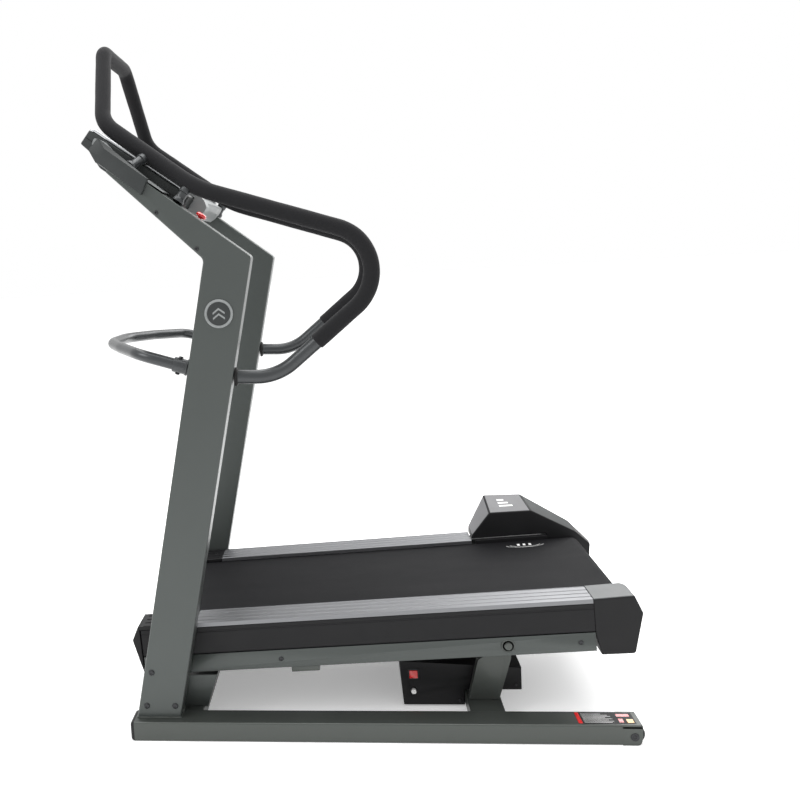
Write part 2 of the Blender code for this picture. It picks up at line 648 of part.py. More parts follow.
def tangent_loop(a, radius_a, b, radius_b, steps=10):
    """Outline of a belt round two circles of different size."""
    line = b - a
    heading = math.atan2(line.y, line.x)
    lean = math.acos((radius_a - radius_b) / line.length)
    points = []
    for i in range(steps + 1):
        angle = heading + lean + (2 * math.pi - 2 * lean) * i / steps
        points.append((a.x + radius_a * math.cos(angle), a.y + radius_a * math.sin(angle)))
    for i in range(steps + 1):
        angle = heading - lean + 2 * lean * i / steps
        points.append((b.x + radius_b * math.cos(angle), b.y + radius_b * math.sin(angle)))
    return points


def rear_cap():
    """Low cap over the near rear corner of the deck."""
    u0 = DECK_REAR + FIT
    outline = deck_outline([(u0, 0.0), (u0 + 0.106, 0.0025), (u0 + 0.125, -0.047), (u0 + 0.0985, -0.157),
                            (u0 + 0.012, -0.156), (u0, -0.095)])
    cap = prism("rear_cap_near", outline, -0.262, -DECK_HALF, "black_plastic", parent=DECK)
    soften(cap, 0.003)
    lip = deck_outline([(u0 + 0.002, -0.010), (u0 + 0.094, -0.008), (u0 + 0.093, -0.0005), (u0 + 0.002, -0.002)])
    unite(cap, prism_mesh(lip, -0.264, -BELT_ZONE))
    cut(cap, shaft_bore(NEAR))


def shaft_bore(side):
    """Guide solid for the blind bore that holds the rear roller's shaft end."""
    centre = (REAR_ROLLER_U, side * 0.270, -ROLLER_DROP + PIVOT_DEPTH)
    return cylinder_mesh(centre, (0, 1, 0), 0.0085, 0.060, 24)


def rear_hood():
    """Tall hood over the far rear corner; its top leans outwards and its rear end spreads."""
    front = -0.0110
    foot = [(DECK_REAR + 0.012, -0.156), (DECK_REAR + FIT, -0.095), (DECK_REAR + FIT, 0.0005)]
    inner = [(front, 0.0005), (front + 0.004, 0.012), (0.055, 0.083), (0.188, 0.081), (0.326, -0.002),
             (0.366, -0.044), (0.352, -0.156)]
    outer = [(front, 0.0005), (front + 0.002, 0.020), (0.050, 0.125), (0.168, 0.119), (0.318, 0.014),
             (0.382, -0.062), (0.364, -0.156)]
    shape = prism_mesh(deck_outline(inner + foot), BELT_ZONE + 0.018, DECK_HALF, deck_outline(outer + foot))
    hood = add_object("rear_hood_far", shape, "black_plastic", parent=DECK)
    soften(hood, 0.003)
    cut(hood, shaft_bore(FAR))


def lift_bar():
    deck_block("lift_bar", -0.594, -0.515, -0.345, 0.345, -0.160, -FRAME_DROP - 0.0005, "rail_paint")


def pivot_post(label, side):
    """Leaning plate on the rear crossbeam that carries the deck's pivot pin."""
    eye = []
    for i in range(13):
        angle = -math.radians(20) + math.radians(220) * i / 12
        eye.append((PIVOT_X + 0.021 * math.cos(angle), PIVOT_Z + 0.021 * math.sin(angle)))
    outline = [(0.930, 0.0503), (1.012, 0.0503), (1.046, 0.166)] + eye + [(0.972, 0.176), (0.957, 0.166)]
    post = prism(f"pivot_post_{label}", outline, side * 0.268, side * 0.2985, "rail_paint")
    cut(post, cylinder_mesh((PIVOT_X, side * 0.283, PIVOT_Z), (0, 1, 0), PIN_RADIUS + RUNNING_FIT, 0.08))
    head = [(-0.084, PIN_RADIUS), (-0.0085, PIN_RADIUS), (-0.0085, 0.015), (-0.006, 0.015), (-0.006, 0.0105),
            (0.0, 0.0095)]
    turned(f"pivot_pin_{label}", head, (PIVOT_X, side * (DECK_HALF + 0.0090), PIVOT_Z), (0, side, 0), "steel",
           sides=24)


# ---------------------------------------------------------------- lift actuator and controls
def lift_actuator():
    foot = Vector((LIFT_FOOT[0], LIFT_Y, LIFT_FOOT[1]))
    head = Vector((LIFT_HEAD[0], LIFT_Y, LIFT_HEAD[1]))
    along = (head - foot).normalized()
    body = [(0.022, 0.024), (0.026, 0.026), (0.176, 0.026), (0.180, 0.024)]
    barrel = turned("lift_body", body, foot, along, "black_plastic", sides=28, origin=foot)
    shank = cylinder_mesh(foot + along * 0.015, along, 0.010, 0.020, 20)
    unite(barrel, shank)
    unite(barrel, cylinder_mesh(foot, (0, 1, 0), 0.0165, 0.0310, 28))
    cut(barrel, cylinder_mesh(foot, (0, 1, 0), PIN_RADIUS + RUNNING_FIT, 0.06, 28))
    cut(barrel, cylinder_mesh(foot + along * 0.130, along, 0.0126, 0.190, 24))
    reach = (head - foot).length
    start = foot + along * 0.040
    length = reach - 0.040 - 0.008
    rod = cylinder("lift_rod", start + along * length / 2, along, 0.0120, length, "steel", sides=24, origin=start)
    unite(rod, cylinder_mesh(head, (0, 1, 0), 0.0135, 0.024, 24))


def control_box():
    """Low box between the rails: mains switch and reset button on its near face, inlet at its rear end."""
    outline = [(0.752, 0.006), (0.9245, 0.006), (0.9245, 0.0515), (BOX_REAR, 0.0515), (BOX_REAR, 0.118),
               (0.744, 0.138)]
    box = prism("control_box", outline, BOX_FACE_Y, 0.040, "black_plastic")
    switch_x, switch_z = MAINS_SWITCH
    reset_x, reset_z = RESET_SPOT
    cut(box, prism_mesh(rectangle(switch_x - 0.013, switch_x + 0.013, switch_z - 0.012, switch_z + 0.012),
                        BOX_FACE_Y - 0.01, BOX_FACE_Y + 0.006))
    cut(box, cylinder_mesh((reset_x, BOX_FACE_Y, reset_z), (0, 1, 0), 0.0085, 0.014, 24))
    inlet_low, inlet_high = 0.072, 0.098
    cut(box, prism_mesh(rectangle(BOX_REAR - 0.006, BOX_REAR + 0.01, inlet_low, inlet_high), -0.120, -0.084))
    tilt = 0.0020
    face = BOX_FACE_Y - 0.004
    bm = bmesh.new()
    corners = [(-0.0115, -0.0105), (0.0115, -0.0105), (0.0115, 0.0105), (-0.0115, 0.0105)]
    back = [bm.verts.new((switch_x + x, BOX_FACE_Y + 0.0015, switch_z + z)) for x, z in corners]
    lip = [bm.verts.new((switch_x + x, face + tilt * (1 if z > 0 else -1), switch_z + z)) for x, z in corners]
    bm.faces.new(back)
    bm.faces.new(list(reversed(lip)))
    for i in range(4):
        j = (i + 1) % 4
        bm.faces.new((back[j], back[i], lip[i], lip[j]))
    add_object("power_switch", bm, "red", origin=(switch_x, BOX_FACE_Y - 0.0005, switch_z))
    button = (reset_x, BOX_FACE_Y, reset_z)
    turned("reset_button", [(-0.0045, 0.0075), (0.0060, 0.0075), (0.0080, 0.006)], button, (0, -1, 0), "white",
           sides=24, origin=button)
    inlet = block("power_inlet", BOX_REAR - 0.0055, BOX_REAR + 0.003, -0.1195, -0.0845, inlet_low + 0.0005,
                  inlet_high - 0.0005, "black_plastic")
    cut(inlet, prism_mesh(rectangle(BOX_REAR - 0.0035, BOX_REAR + 0.01, inlet_low + 0.005, inlet_high - 0.005),
                          -0.114, -0.090))


# ---------------------------------------------------------------- assembly
clear_scene()
MACHINE = empty("machine_frame", (FRONT_X, 0, 0))
DECK = empty("deck_frame", (PIVOT_X, 0, PIVOT_Z), parent=MACHINE, pitch=DECK_SLOPE)

for name, direction in SIDES.items():
    base_rail(name, direction)
    rail_cap(name, direction)
    transport_wheel(name, direction)
    upright(name, direction)
    upright_badge(name, direction)
    pivot_post(name, direction)
    deck_side(name, direction)
    console_cheek(name, direction)
crossbars()
lift_bracket()
handrail()
handrail_posts()
front_bar()
console()
emergency_stop()
side_rail("near", NEAR, DECK_REAR)
side_rail("far", FAR, -0.0115)
nose_cover()
running_surface()
rollers()
drive()
rear_cap()
rear_hood()
lift_bar()
lift_actuator()
control_box()
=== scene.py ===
"""Finished look of a motorised incline trainer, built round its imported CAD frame.

Metres, +Z up, +X the rear end that a person steps on from, +Y the side with the tall drive hood.
"""

from __future__ import annotations

import json
import logging
import math
from collections.abc import Callable, Iterable, Sequence
from dataclasses import dataclass, field
from enum import Enum

import bmesh
import bpy
from mathutils import Matrix, Vector

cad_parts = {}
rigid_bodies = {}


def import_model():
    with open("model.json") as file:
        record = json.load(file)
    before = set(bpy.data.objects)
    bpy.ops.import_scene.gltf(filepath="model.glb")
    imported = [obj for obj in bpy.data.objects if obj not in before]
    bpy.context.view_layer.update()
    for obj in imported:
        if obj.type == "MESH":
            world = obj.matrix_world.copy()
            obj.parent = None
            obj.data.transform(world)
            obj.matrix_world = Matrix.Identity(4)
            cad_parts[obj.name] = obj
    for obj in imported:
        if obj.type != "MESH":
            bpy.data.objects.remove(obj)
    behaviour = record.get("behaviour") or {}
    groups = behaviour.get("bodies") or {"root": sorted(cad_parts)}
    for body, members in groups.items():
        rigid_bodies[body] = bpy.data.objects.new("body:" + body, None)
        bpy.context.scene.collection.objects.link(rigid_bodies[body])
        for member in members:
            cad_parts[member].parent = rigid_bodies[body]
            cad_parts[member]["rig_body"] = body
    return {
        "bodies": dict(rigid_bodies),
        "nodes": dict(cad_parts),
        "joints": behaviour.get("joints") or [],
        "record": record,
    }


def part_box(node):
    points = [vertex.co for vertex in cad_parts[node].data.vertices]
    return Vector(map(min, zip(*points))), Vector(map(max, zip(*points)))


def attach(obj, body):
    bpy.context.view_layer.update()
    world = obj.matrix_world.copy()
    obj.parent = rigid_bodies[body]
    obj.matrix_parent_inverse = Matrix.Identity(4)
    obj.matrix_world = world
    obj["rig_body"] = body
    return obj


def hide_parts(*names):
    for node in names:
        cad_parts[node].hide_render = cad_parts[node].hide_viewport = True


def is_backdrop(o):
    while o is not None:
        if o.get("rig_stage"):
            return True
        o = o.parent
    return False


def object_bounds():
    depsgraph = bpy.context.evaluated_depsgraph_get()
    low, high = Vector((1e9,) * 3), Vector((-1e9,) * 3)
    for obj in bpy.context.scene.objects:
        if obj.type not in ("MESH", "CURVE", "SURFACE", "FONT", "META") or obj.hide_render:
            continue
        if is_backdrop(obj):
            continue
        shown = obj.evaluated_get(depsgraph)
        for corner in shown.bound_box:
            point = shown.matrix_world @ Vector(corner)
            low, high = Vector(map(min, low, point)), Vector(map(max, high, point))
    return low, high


LOG = logging.getLogger("incline_trainer")
Point2 = tuple[float, float]
Colour = tuple[float, float, float]
SIDES = {"near": -1, "far": 1}


class Slot(Enum):
    """Material slots of the record."""

    FRAME_PAINT = "frame_paint"
    RAIL_PAINT = "rail_paint"
    BLACK_PLASTIC = "black_plastic"
    DARK_PLASTIC = "dark_plastic"
    SILVER = "silver"
    LIGHT_PLASTIC = "light_plastic"
    STEEL = "steel"
    FOAM = "foam"
    BELT = "belt"
    RUBBER = "rubber"
    BOARD = "board"
    GLASS = "glass"
    RED = "red"
    WHITE = "white"


# ---------------------------------------------------------------- shader building
class Field:
    """A shader node's output that takes part in Python arithmetic."""

    def __init__(self, kit: NodeKit, socket: bpy.types.NodeSocket) -> None:
        """Wrap one output socket.

        Args:
            kit: The tree that the socket belongs to.
            socket: The output itself.
        """
        self.kit = kit
        self.socket = socket

    def _math(self, operation: str, left: Operand, right: Operand = 0.0) -> Field:
        """Return the field of one Math node over two operands."""
        return self.kit.node("ShaderNodeMath", {"operation": operation}, {0: left, 1: right})

    def __add__(self, other: Operand) -> Field:
        """Return self + other."""
        return self._math("ADD", self, other)

    __radd__ = __add__

    def __sub__(self, other: Operand) -> Field:
        """Return self - other."""
        return self._math("SUBTRACT", self, other)

    def __rsub__(self, other: Operand) -> Field:
        """Return other - self."""
        return self._math("SUBTRACT", other, self)

    def __mul__(self, other: Operand) -> Field:
        """Return self * other."""
        return self._math("MULTIPLY", self, other)

    __rmul__ = __mul__

    def wave(self) -> Field:
        """Return the sine of the field."""
        return self._math("SINE", self)

    def above(self, limit: float) -> Field:
        """Return 1 where the field is over the limit and 0 elsewhere."""
        return self._math("GREATER_THAN", self, limit)

    def largest(self, other: Operand) -> Field:
        """Return the larger of the field and the other value."""
        return self._math("MAXIMUM", self, other)


Operand = Field | float


class NodeKit:
    """Builds one material's node tree around its Principled shader."""

    def __init__(self, name: str) -> None:
        """Start a material with an empty Principled shader.

        Args:
            name: The material's name.
        """
        self.material = bpy.data.materials.new(name)
        self.material.use_nodes = True
        self.tree = self.material.node_tree
        self.shader = self.tree.nodes["Principled BSDF"]

    def node(self, kind: str, settings: dict, inputs: dict, output: int | str = 0) -> Field:
        """Add any node.

        Args:
            kind: The node's type.
            settings: Attributes that are set first.
            inputs: Values or fields of its input sockets, by index or name.
            output: The output to return.

        Returns:
            The chosen output as a field.
        """
        made = self.tree.nodes.new(kind)
        for key, value in settings.items():
            setattr(made, key, value)
        for key, value in inputs.items():
            if isinstance(value, Field):
                self.tree.links.new(value.socket, made.inputs[key])
            else:
                made.inputs[key].default_value = value
        return Field(self, made.outputs[output])

    def place(self) -> Field:
        """Return the position on the piece, in metres."""
        return self.node("ShaderNodeTexCoord", {}, {}, "Object")

    def stretched(self, scale: tuple[float, float, float]) -> Field:
        """Return the position scaled separately along X, Y and Z."""
        return self.node("ShaderNodeMapping", {}, {"Vector": self.place(), "Scale": scale})

    def noise(self, scale: float, detail: float = 2.0, where: Field | None = None) -> Field:
        """Return a soft noise between 0 and 1.

        Args:
            scale: Features per metre.
            detail: Octaves of finer noise.
            where: The position to read, or None for the plain one.
        """
        return self.node("ShaderNodeTexNoise", {}, {"Vector": where or self.place(), "Scale": scale,
                                                    "Detail": detail, "Roughness": 0.55}, "Fac")

    def cells(self, scale: float) -> Field:
        """Return the distance to the nearest of many scattered points."""
        return self.node("ShaderNodeTexVoronoi", {}, {"Vector": self.place(), "Scale": scale}, "Distance")

    def axes(self) -> tuple[Field, Field, Field]:
        """Return the position's X, Y and Z as three fields."""
        split = self.tree.nodes.new("ShaderNodeSeparateXYZ")
        self.tree.links.new(self.place().socket, split.inputs[0])
        return tuple(Field(self, split.outputs[i]) for i in range(3))

    def between(self, value: Field, low: float, high: float, start: float = 0.0, end: float = 1.0) -> Field:
        """Return the value mapped from low..high to start..end and held at both ends."""
        return self.node("ShaderNodeMapRange", {"clamp": True},
                         {"Value": value, "From Min": low, "From Max": high,
                                                                 "To Min": start, "To Max": end})

    def tint(self, factor: Operand, first: Colour, second: Colour) -> Field:
        """Return a colour that runs from the first to the second with the factor."""
        return self.node("ShaderNodeMix", {"data_type": "RGBA"},
                         {0: factor, 6: (*first, 1.0), 7: (*second, 1.0)}, 2)

    def bump(self, height: Field, depth: float, strength: float = 1.0) -> None:
        """Raise the surface by a height field.

        Args:
            height: The field, from 0 to 1.
            depth: What 1 stands for, in metres.
            strength: The share of the effect that is used.
        """
        normal = self.node("ShaderNodeBump", {},
                           {"Strength": strength, "Distance": depth, "Height": height},
                           "Normal")
        self.feed("Normal", normal)

    def feed(self, socket: str, value: Field) -> None:
        """Link a field to one of the shader's sockets."""
        self.tree.links.new(value.socket, self.shader.inputs[socket])

    def hold(self, **values: float | Colour) -> None:
        """Set plain values on the shader; underscores in names stand for spaces."""
        for key, value in values.items():
            label = key.replace("_", " ").title().replace("Ior", "IOR")
            self.shader.inputs[label].default_value = (*value, 1.0) if isinstance(value, tuple) else value


# ---------------------------------------------------------------- finishes
def lighter(colour: Colour, factor: float) -> Colour:
    """Return the colour with each channel multiplied by the factor."""
    return tuple(min(1.0, channel * factor) for channel in colour)


@dataclass(frozen=True)
class Finish:
    """What every finish knows: its name, its colour and how rough it is."""

    name: str
    colour: Colour
    roughness: float

    def dress(self, kit: NodeKit) -> None:
        """Fill the material's nodes.

        Args:
            kit: The material under construction.
        """
        kit.hold(base_color=self.colour, roughness=self.roughness)

    def vary(self, kit: NodeKit, mask: Field, spread: float, rough_spread: float) -> None:
        """Let colour and roughness drift a little over the surface.

        Args:
            kit: The material under construction.
            mask: The field that drives the drift.
            spread: Share by which the colour gets darker and lighter.
            rough_spread: How far the roughness moves each way.
        """
        kit.feed("Base Color",
                 kit.tint(mask, lighter(self.colour, 1 - spread), lighter(self.colour, 1 + spread)))
        kit.feed("Roughness", kit.between(mask, 0.2, 0.8, self.roughness - rough_spread,
                                          self.roughness + rough_spread))


@dataclass(frozen=True)
class PowderCoat(Finish):
    """Semi-gloss metallic powder coat with orange peel, fine flake, faint handling marks and a painted
    highlight along its sharp edges.
    """

    metallic: float = 0.55
    peel: float = 0.00006

    def dress(self, kit: NodeKit) -> None:
        """Fill the material's nodes."""
        kit.hold(metallic=self.metallic, coat_weight=0.25, coat_roughness=0.18, specular_ior_level=0.5)
        flake = kit.noise(2600.0, 1.0)
        cloud = kit.noise(7.0, 4.0)
        marks = kit.between(kit.noise(60.0, 6.0, kit.stretched((0.25, 1.0, 1.0))), 0.62, 0.78)
        # Painted highlight: edge picks out sharp, bevelled edges by pointiness and lightens the colour there,
        # and also raises the roughness there.
        edge = kit.between(kit.node("ShaderNodeNewGeometry", {}, {}, "Pointiness"), 0.52, 0.60)
        self.vary(kit, cloud * 0.55 + flake * 0.3 + edge * 1.6, 0.10, 0.05)
        kit.bump(kit.noise(650.0, 2.0) + flake * 0.15 - marks * 0.2, self.peel, 0.6)


@dataclass(frozen=True)
class Moulded(Finish):
    """Injection-moulded plastic with a fine spark-eroded grain and rubbed patches."""

    grain: float = 1500.0
    depth: float = 0.00005

    def dress(self, kit: NodeKit) -> None:
        """Fill the material's nodes."""
        kit.hold(specular_ior_level=0.22)
        rubbed = kit.noise(22.0, 5.0)
        self.vary(kit, rubbed, 0.16, 0.07)
        kit.bump(kit.cells(self.grain) * 0.6 + kit.noise(self.grain * 1.7, 2.0) * 0.4, self.depth, 0.5)


@dataclass(frozen=True)
class Brushed(Finish):
    """Metal brushed along one axis."""

    along: tuple[float, float, float] = (0.02, 1.0, 1.0)
    metallic: float = 1.0
    lines: float = 1400.0

    def dress(self, kit: NodeKit) -> None:
        """Fill the material's nodes."""
        kit.hold(metallic=self.metallic, specular_ior_level=0.5)
        streak = kit.noise(self.lines, 3.0, kit.stretched(self.along))
        stain = kit.noise(9.0, 4.0)
        self.vary(kit, streak * 0.6 + stain * 0.4, 0.12, 0.09)
        kit.bump(streak, 0.00003, 0.5)


@dataclass(frozen=True)
class Foam(Finish):
    """Closed-cell foam sleeve: open pores, a soft bloom and slightly flattened patches."""

    def dress(self, kit: NodeKit) -> None:
        """Fill the material's nodes."""
        kit.hold(sheen_weight=0.06, sheen_roughness=0.45, specular_ior_level=0.18)
        pores = kit.between(kit.cells(1900.0), 0.05, 0.55)
        skin = kit.noise(26.0, 5.0)
        self.vary(kit, skin * 0.6 + pores * 0.4, 0.22, 0.05)
        kit.bump(pores * 0.8 + kit.noise(420.0, 3.0) * 0.5, 0.00022, 0.75)


@dataclass(frozen=True)
class BeltGrain(Finish):
    """Running belt: a fine diamond grain pressed into a hard rubber top, with long patches of varied tone and
    roughness.
    """

    pitch: float = 0.0042

    def dress(self, kit: NodeKit) -> None:
        """Fill the material's nodes."""
        kit.hold(specular_ior_level=0.10)
        x, y, _ = kit.axes()
        turns = 2 * math.pi / self.pitch
        diamonds = ((x + y) * turns).wave() * ((x - y) * turns).wave()
        tread = kit.noise(5.5, 4.0, kit.stretched((0.4, 1.2, 1.0)))
        lint = kit.between(kit.noise(900.0, 2.0), 0.66, 0.72)
        self.vary(kit, tread * 0.8 + lint * 0.5, 0.20, 0.07)
        kit.bump(kit.between(diamonds, -0.9, 0.9) * 0.8 + kit.noise(1500.0, 2.0) * 0.3, 0.00022, 0.8)


@dataclass(frozen=True)
class Gloss(Finish):
    """Polished plastic or lacquer with a clear top layer."""

    emission: float = 0.0

    def dress(self, kit: NodeKit) -> None:
        """Fill the material's nodes."""
        kit.hold(coat_weight=0.6, coat_roughness=0.06, emission_strength=self.emission)
        kit.hold(emission_color=self.colour)
        self.vary(kit, kit.noise(30.0, 4.0), 0.08, 0.04)
        kit.bump(kit.noise(260.0, 2.0), 0.00002, 0.35)


@dataclass(frozen=True)
class Fibreboard(Finish):
    """Pressed board with short fibres."""

    def dress(self, kit: NodeKit) -> None:
        """Fill the material's nodes."""
        fibres = kit.noise(240.0, 6.0, kit.stretched((0.2, 1.0, 1.0)))
        self.vary(kit, fibres, 0.30, 0.08)
        kit.bump(fibres, 0.0001, 0.5)


FINISHES: dict[str, Finish] = {finish.name: finish for finish in (
    PowderCoat("frame_paint", (0.050, 0.057, 0.054), 0.40),
    PowderCoat("tube_paint", (0.036, 0.039, 0.041), 0.38),
    PowderCoat("rail_paint", (0.052, 0.058, 0.053), 0.42),
    Moulded("black_plastic", (0.0065, 0.0065, 0.0072), 0.46),
    Moulded("skirt_plastic", (0.0060, 0.0060, 0.0068), 0.48, 1100.0),
    Moulded("dark_plastic", (0.030, 0.033, 0.033), 0.42),
    Moulded("light_plastic", (0.21, 0.22, 0.22), 0.40, 1900.0, 0.00003),
    Moulded("hood_grey", (0.165, 0.165, 0.170), 0.42, 1300.0),
    Moulded("key_plastic", (0.10, 0.105, 0.105), 0.42, 2200.0, 0.00003),
    Brushed("silver", (0.185, 0.188, 0.195), 0.42),
    Brushed("bright_trim", (0.52, 0.53, 0.54), 0.30),
    Brushed("steel", (0.30, 0.30, 0.31), 0.34, (1.0, 1.0, 1.0)),
    Brushed("bolt_steel", (0.045, 0.046, 0.048), 0.40, (1.0, 1.0, 1.0)),
    Foam("foam", (0.0105, 0.0105, 0.0115), 0.86),
    BeltGrain("belt", (0.0050, 0.0051, 0.0060), 0.72),
    Moulded("rubber", (0.010, 0.010, 0.010), 0.68, 900.0),
    Fibreboard("board", (0.22, 0.14, 0.08), 0.55),
    Gloss("glass", (0.006, 0.006, 0.008), 0.12),
    Gloss("red", (0.60, 0.012, 0.012), 0.26),
    Gloss("white", (0.80, 0.80, 0.79), 0.32),
    Gloss("amber", (0.85, 0.40, 0.06), 0.32),
    Gloss("display_glow", (0.70, 0.10, 0.04), 0.32, 0.5),
    Gloss("start_green", (0.05, 0.30, 0.10), 0.32),
)}


# ---------------------------------------------------------------- mesh building
class Solid:
    """One or more closed shells under construction, in metres."""

    def __init__(self) -> None:
        """Start with nothing."""
        self.bm = bmesh.new()

    def skin(self, rings: Sequence[Sequence[bmesh.types.BMVert]], closed: bool = False) -> Solid:
        """Join rings of equal size with faces.

        Args:
            rings: The rings in order.
            closed: True joins the last ring to the first; False caps both ends.
        """
        pairs = list(zip(rings, rings[1:]))
        if closed:
            pairs.append((rings[-1], rings[0]))
        else:
            self.bm.faces.new(rings[0])
            self.bm.faces.new(list(reversed(rings[-1])))
        for lower, upper in pairs:
            count = len(lower)
            for i in range(count):
                j = (i + 1) % count
                self.bm.faces.new((lower[j], lower[i], upper[i], upper[j]))
        return self

    def ring(self, points: Iterable[Sequence[float]]) -> list[bmesh.types.BMVert]:
        """Add one ring of points."""
        return [self.bm.verts.new(point) for point in points]

    def prism(self, outline: Sequence[Point2], y0: float, y1: float) -> Solid:
        """Add a solid between two planes of constant Y.

        Args:
            outline: The (x, z) corners.
            y0: One plane.
            y1: The other plane.
        """
        return self.skin([self.ring((x, y, z) for x, z in outline) for y in (y0, y1)])

    def block(self, low: Sequence[float], high: Sequence[float]) -> Solid:
        """Add a box between two corners."""
        outline = [(low[0], low[2]), (high[0], low[2]), (high[0], high[2]), (low[0], high[2])]
        return self.prism(outline, low[1], high[1])

    def band(self, outer: Sequence[Point2], inner: Sequence[Point2], y0: float, y1: float) -> Solid:
        """Add an endless band between two outlines of equal length."""
        rings = [self.ring((x, y, z) for x, z in line) for line,
                 y in ((outer, y0), (outer, y1), (inner, y1),
                                                                        (inner, y0))]
        return self.skin(rings, closed=True)

    def section(self, profile: Sequence[Sequence[float]], run: Vector) -> Solid:
        """Add a bar with the given closed section, drawn out along a vector."""
        points = [Vector(point) for point in profile]
        return self.skin([self.ring(points), self.ring(point + run for point in points)])

    def turned(self, profile: Sequence[Sequence[float]], centre: Sequence[float], axis: Sequence[float],
               sides: int = 48) -> Solid:
        """Add a turned solid.

        Args:
            profile: (distance along the axis, radius) pairs; a third value of 6 makes that ring a hexagon.
            centre: The point that distances are measured from.
            axis: The axis' direction.
            sides: Points round each ring.
        """
        turn = Matrix.Translation(centre) @ Vector((0, 0,
                                                    1)).rotation_difference(Vector(axis)).to_matrix().to_4x4()
        rings = []
        for along, radius, *corners in profile:
            ring = []
            for i in range(sides):
                angle = 2 * math.pi * i / sides
                reach = radius
                if corners:
                    sector = math.pi / corners[0]
                    reach = radius * math.cos(sector) / math.cos((angle + sector) % (2 * sector) - sector)
                ring.append(turn @ Vector((reach * math.cos(angle), reach * math.sin(angle), along)))
            rings.append(self.ring(ring))
        return self.skin(rings)

    def sweep(self, path: Sequence[Vector], radius: float | Callable[[float], float],
              sides: int = 36) -> Solid:
        """Add a round bar along a path, its rings kept from twisting.

        Args:
            path: The centre line.
            radius: One radius, or a function of the distance from the start.
            sides: Points round each ring.
        """
        across = (path[1] - path[0]).orthogonal().normalized()
        travelled = 0.0
        rings = []
        for i, point in enumerate(path):
            before, after = path[max(i - 1, 0)], path[min(i + 1, len(path) - 1)]
            tangent = (after - before).normalized()
            across = (across - tangent * across.dot(tangent)).normalized()
            other = tangent.cross(across)
            if i:
                travelled += (point - path[i - 1]).length
            size = radius(travelled) if callable(radius) else radius
            rings.append(self.ring(point + (across * math.cos(a) + other * math.sin(a)) * size
                                    for a in (2 * math.pi * k / sides for k in range(sides))))
        return self.skin(rings)

    def moved(self, matrix: Matrix) -> Solid:
        """Move everything made so far."""
        self.bm.transform(matrix)
        return self

    def mesh(self, name: str) -> bpy.types.Mesh:
        """Return the finished mesh with its faces pointing out."""
        bmesh.ops.recalc_face_normals(self.bm, faces=self.bm.faces)
        made = bpy.data.meshes.new(name)
        self.bm.to_mesh(made)
        self.bm.free()
        return made


def filleted(corners: Sequence[Sequence[float]], radii: Sequence[float],
             step: float = math.radians(4)) -> list[Vector]:
    """Return a path through the corners with an arc at each inner one.

    Args:
        corners: The corner points.
        radii: The arc's radius at each inner corner.
        step: The largest turn between two points of an arc.
    """
    points = [Vector(corners[0])]
    for before, corner, after, radius in zip(corners, corners[1:], corners[2:], radii):
        corner = Vector(corner)
        back = (Vector(before) - corner).normalized()
        ahead = (Vector(after) - corner).normalized()
        half = back.angle(ahead) / 2
        reach = radius / math.tan(half)
        centre = corner + (back + ahead).normalized() * radius / math.sin(half)
        start = corner + back * reach - centre
        end = corner + ahead * reach - centre
        sweep = start.angle(end)
        count = max(2, math.ceil(sweep / step))
        for i in range(count + 1):
            share = i / count
            arm = (start * math.sin((1 - share) * sweep) + end * math.sin(share * sweep)) / math.sin(sweep)
            points.append(centre + arm)
    points.append(Vector(corners[-1]))
    return points


def stations(path: Sequence[Vector], gap: float) -> list[Vector]:
    """Return the path with its long runs split into lengths of at most the gap."""
    out = [path[0]]
    for a, b in zip(path, path[1:]):
        pieces = max(1, math.ceil((b - a).length / gap))
        out.extend(a.lerp(b, i / pieces) for i in range(1, pieces + 1))
    return out


def mirrored(points: Sequence[Vector]) -> list[Vector]:
    """Return the path carried on to its mirror image on the other side."""
    return [*points, *(Vector((p.x, -p.y, p.z)) for p in reversed(points))]


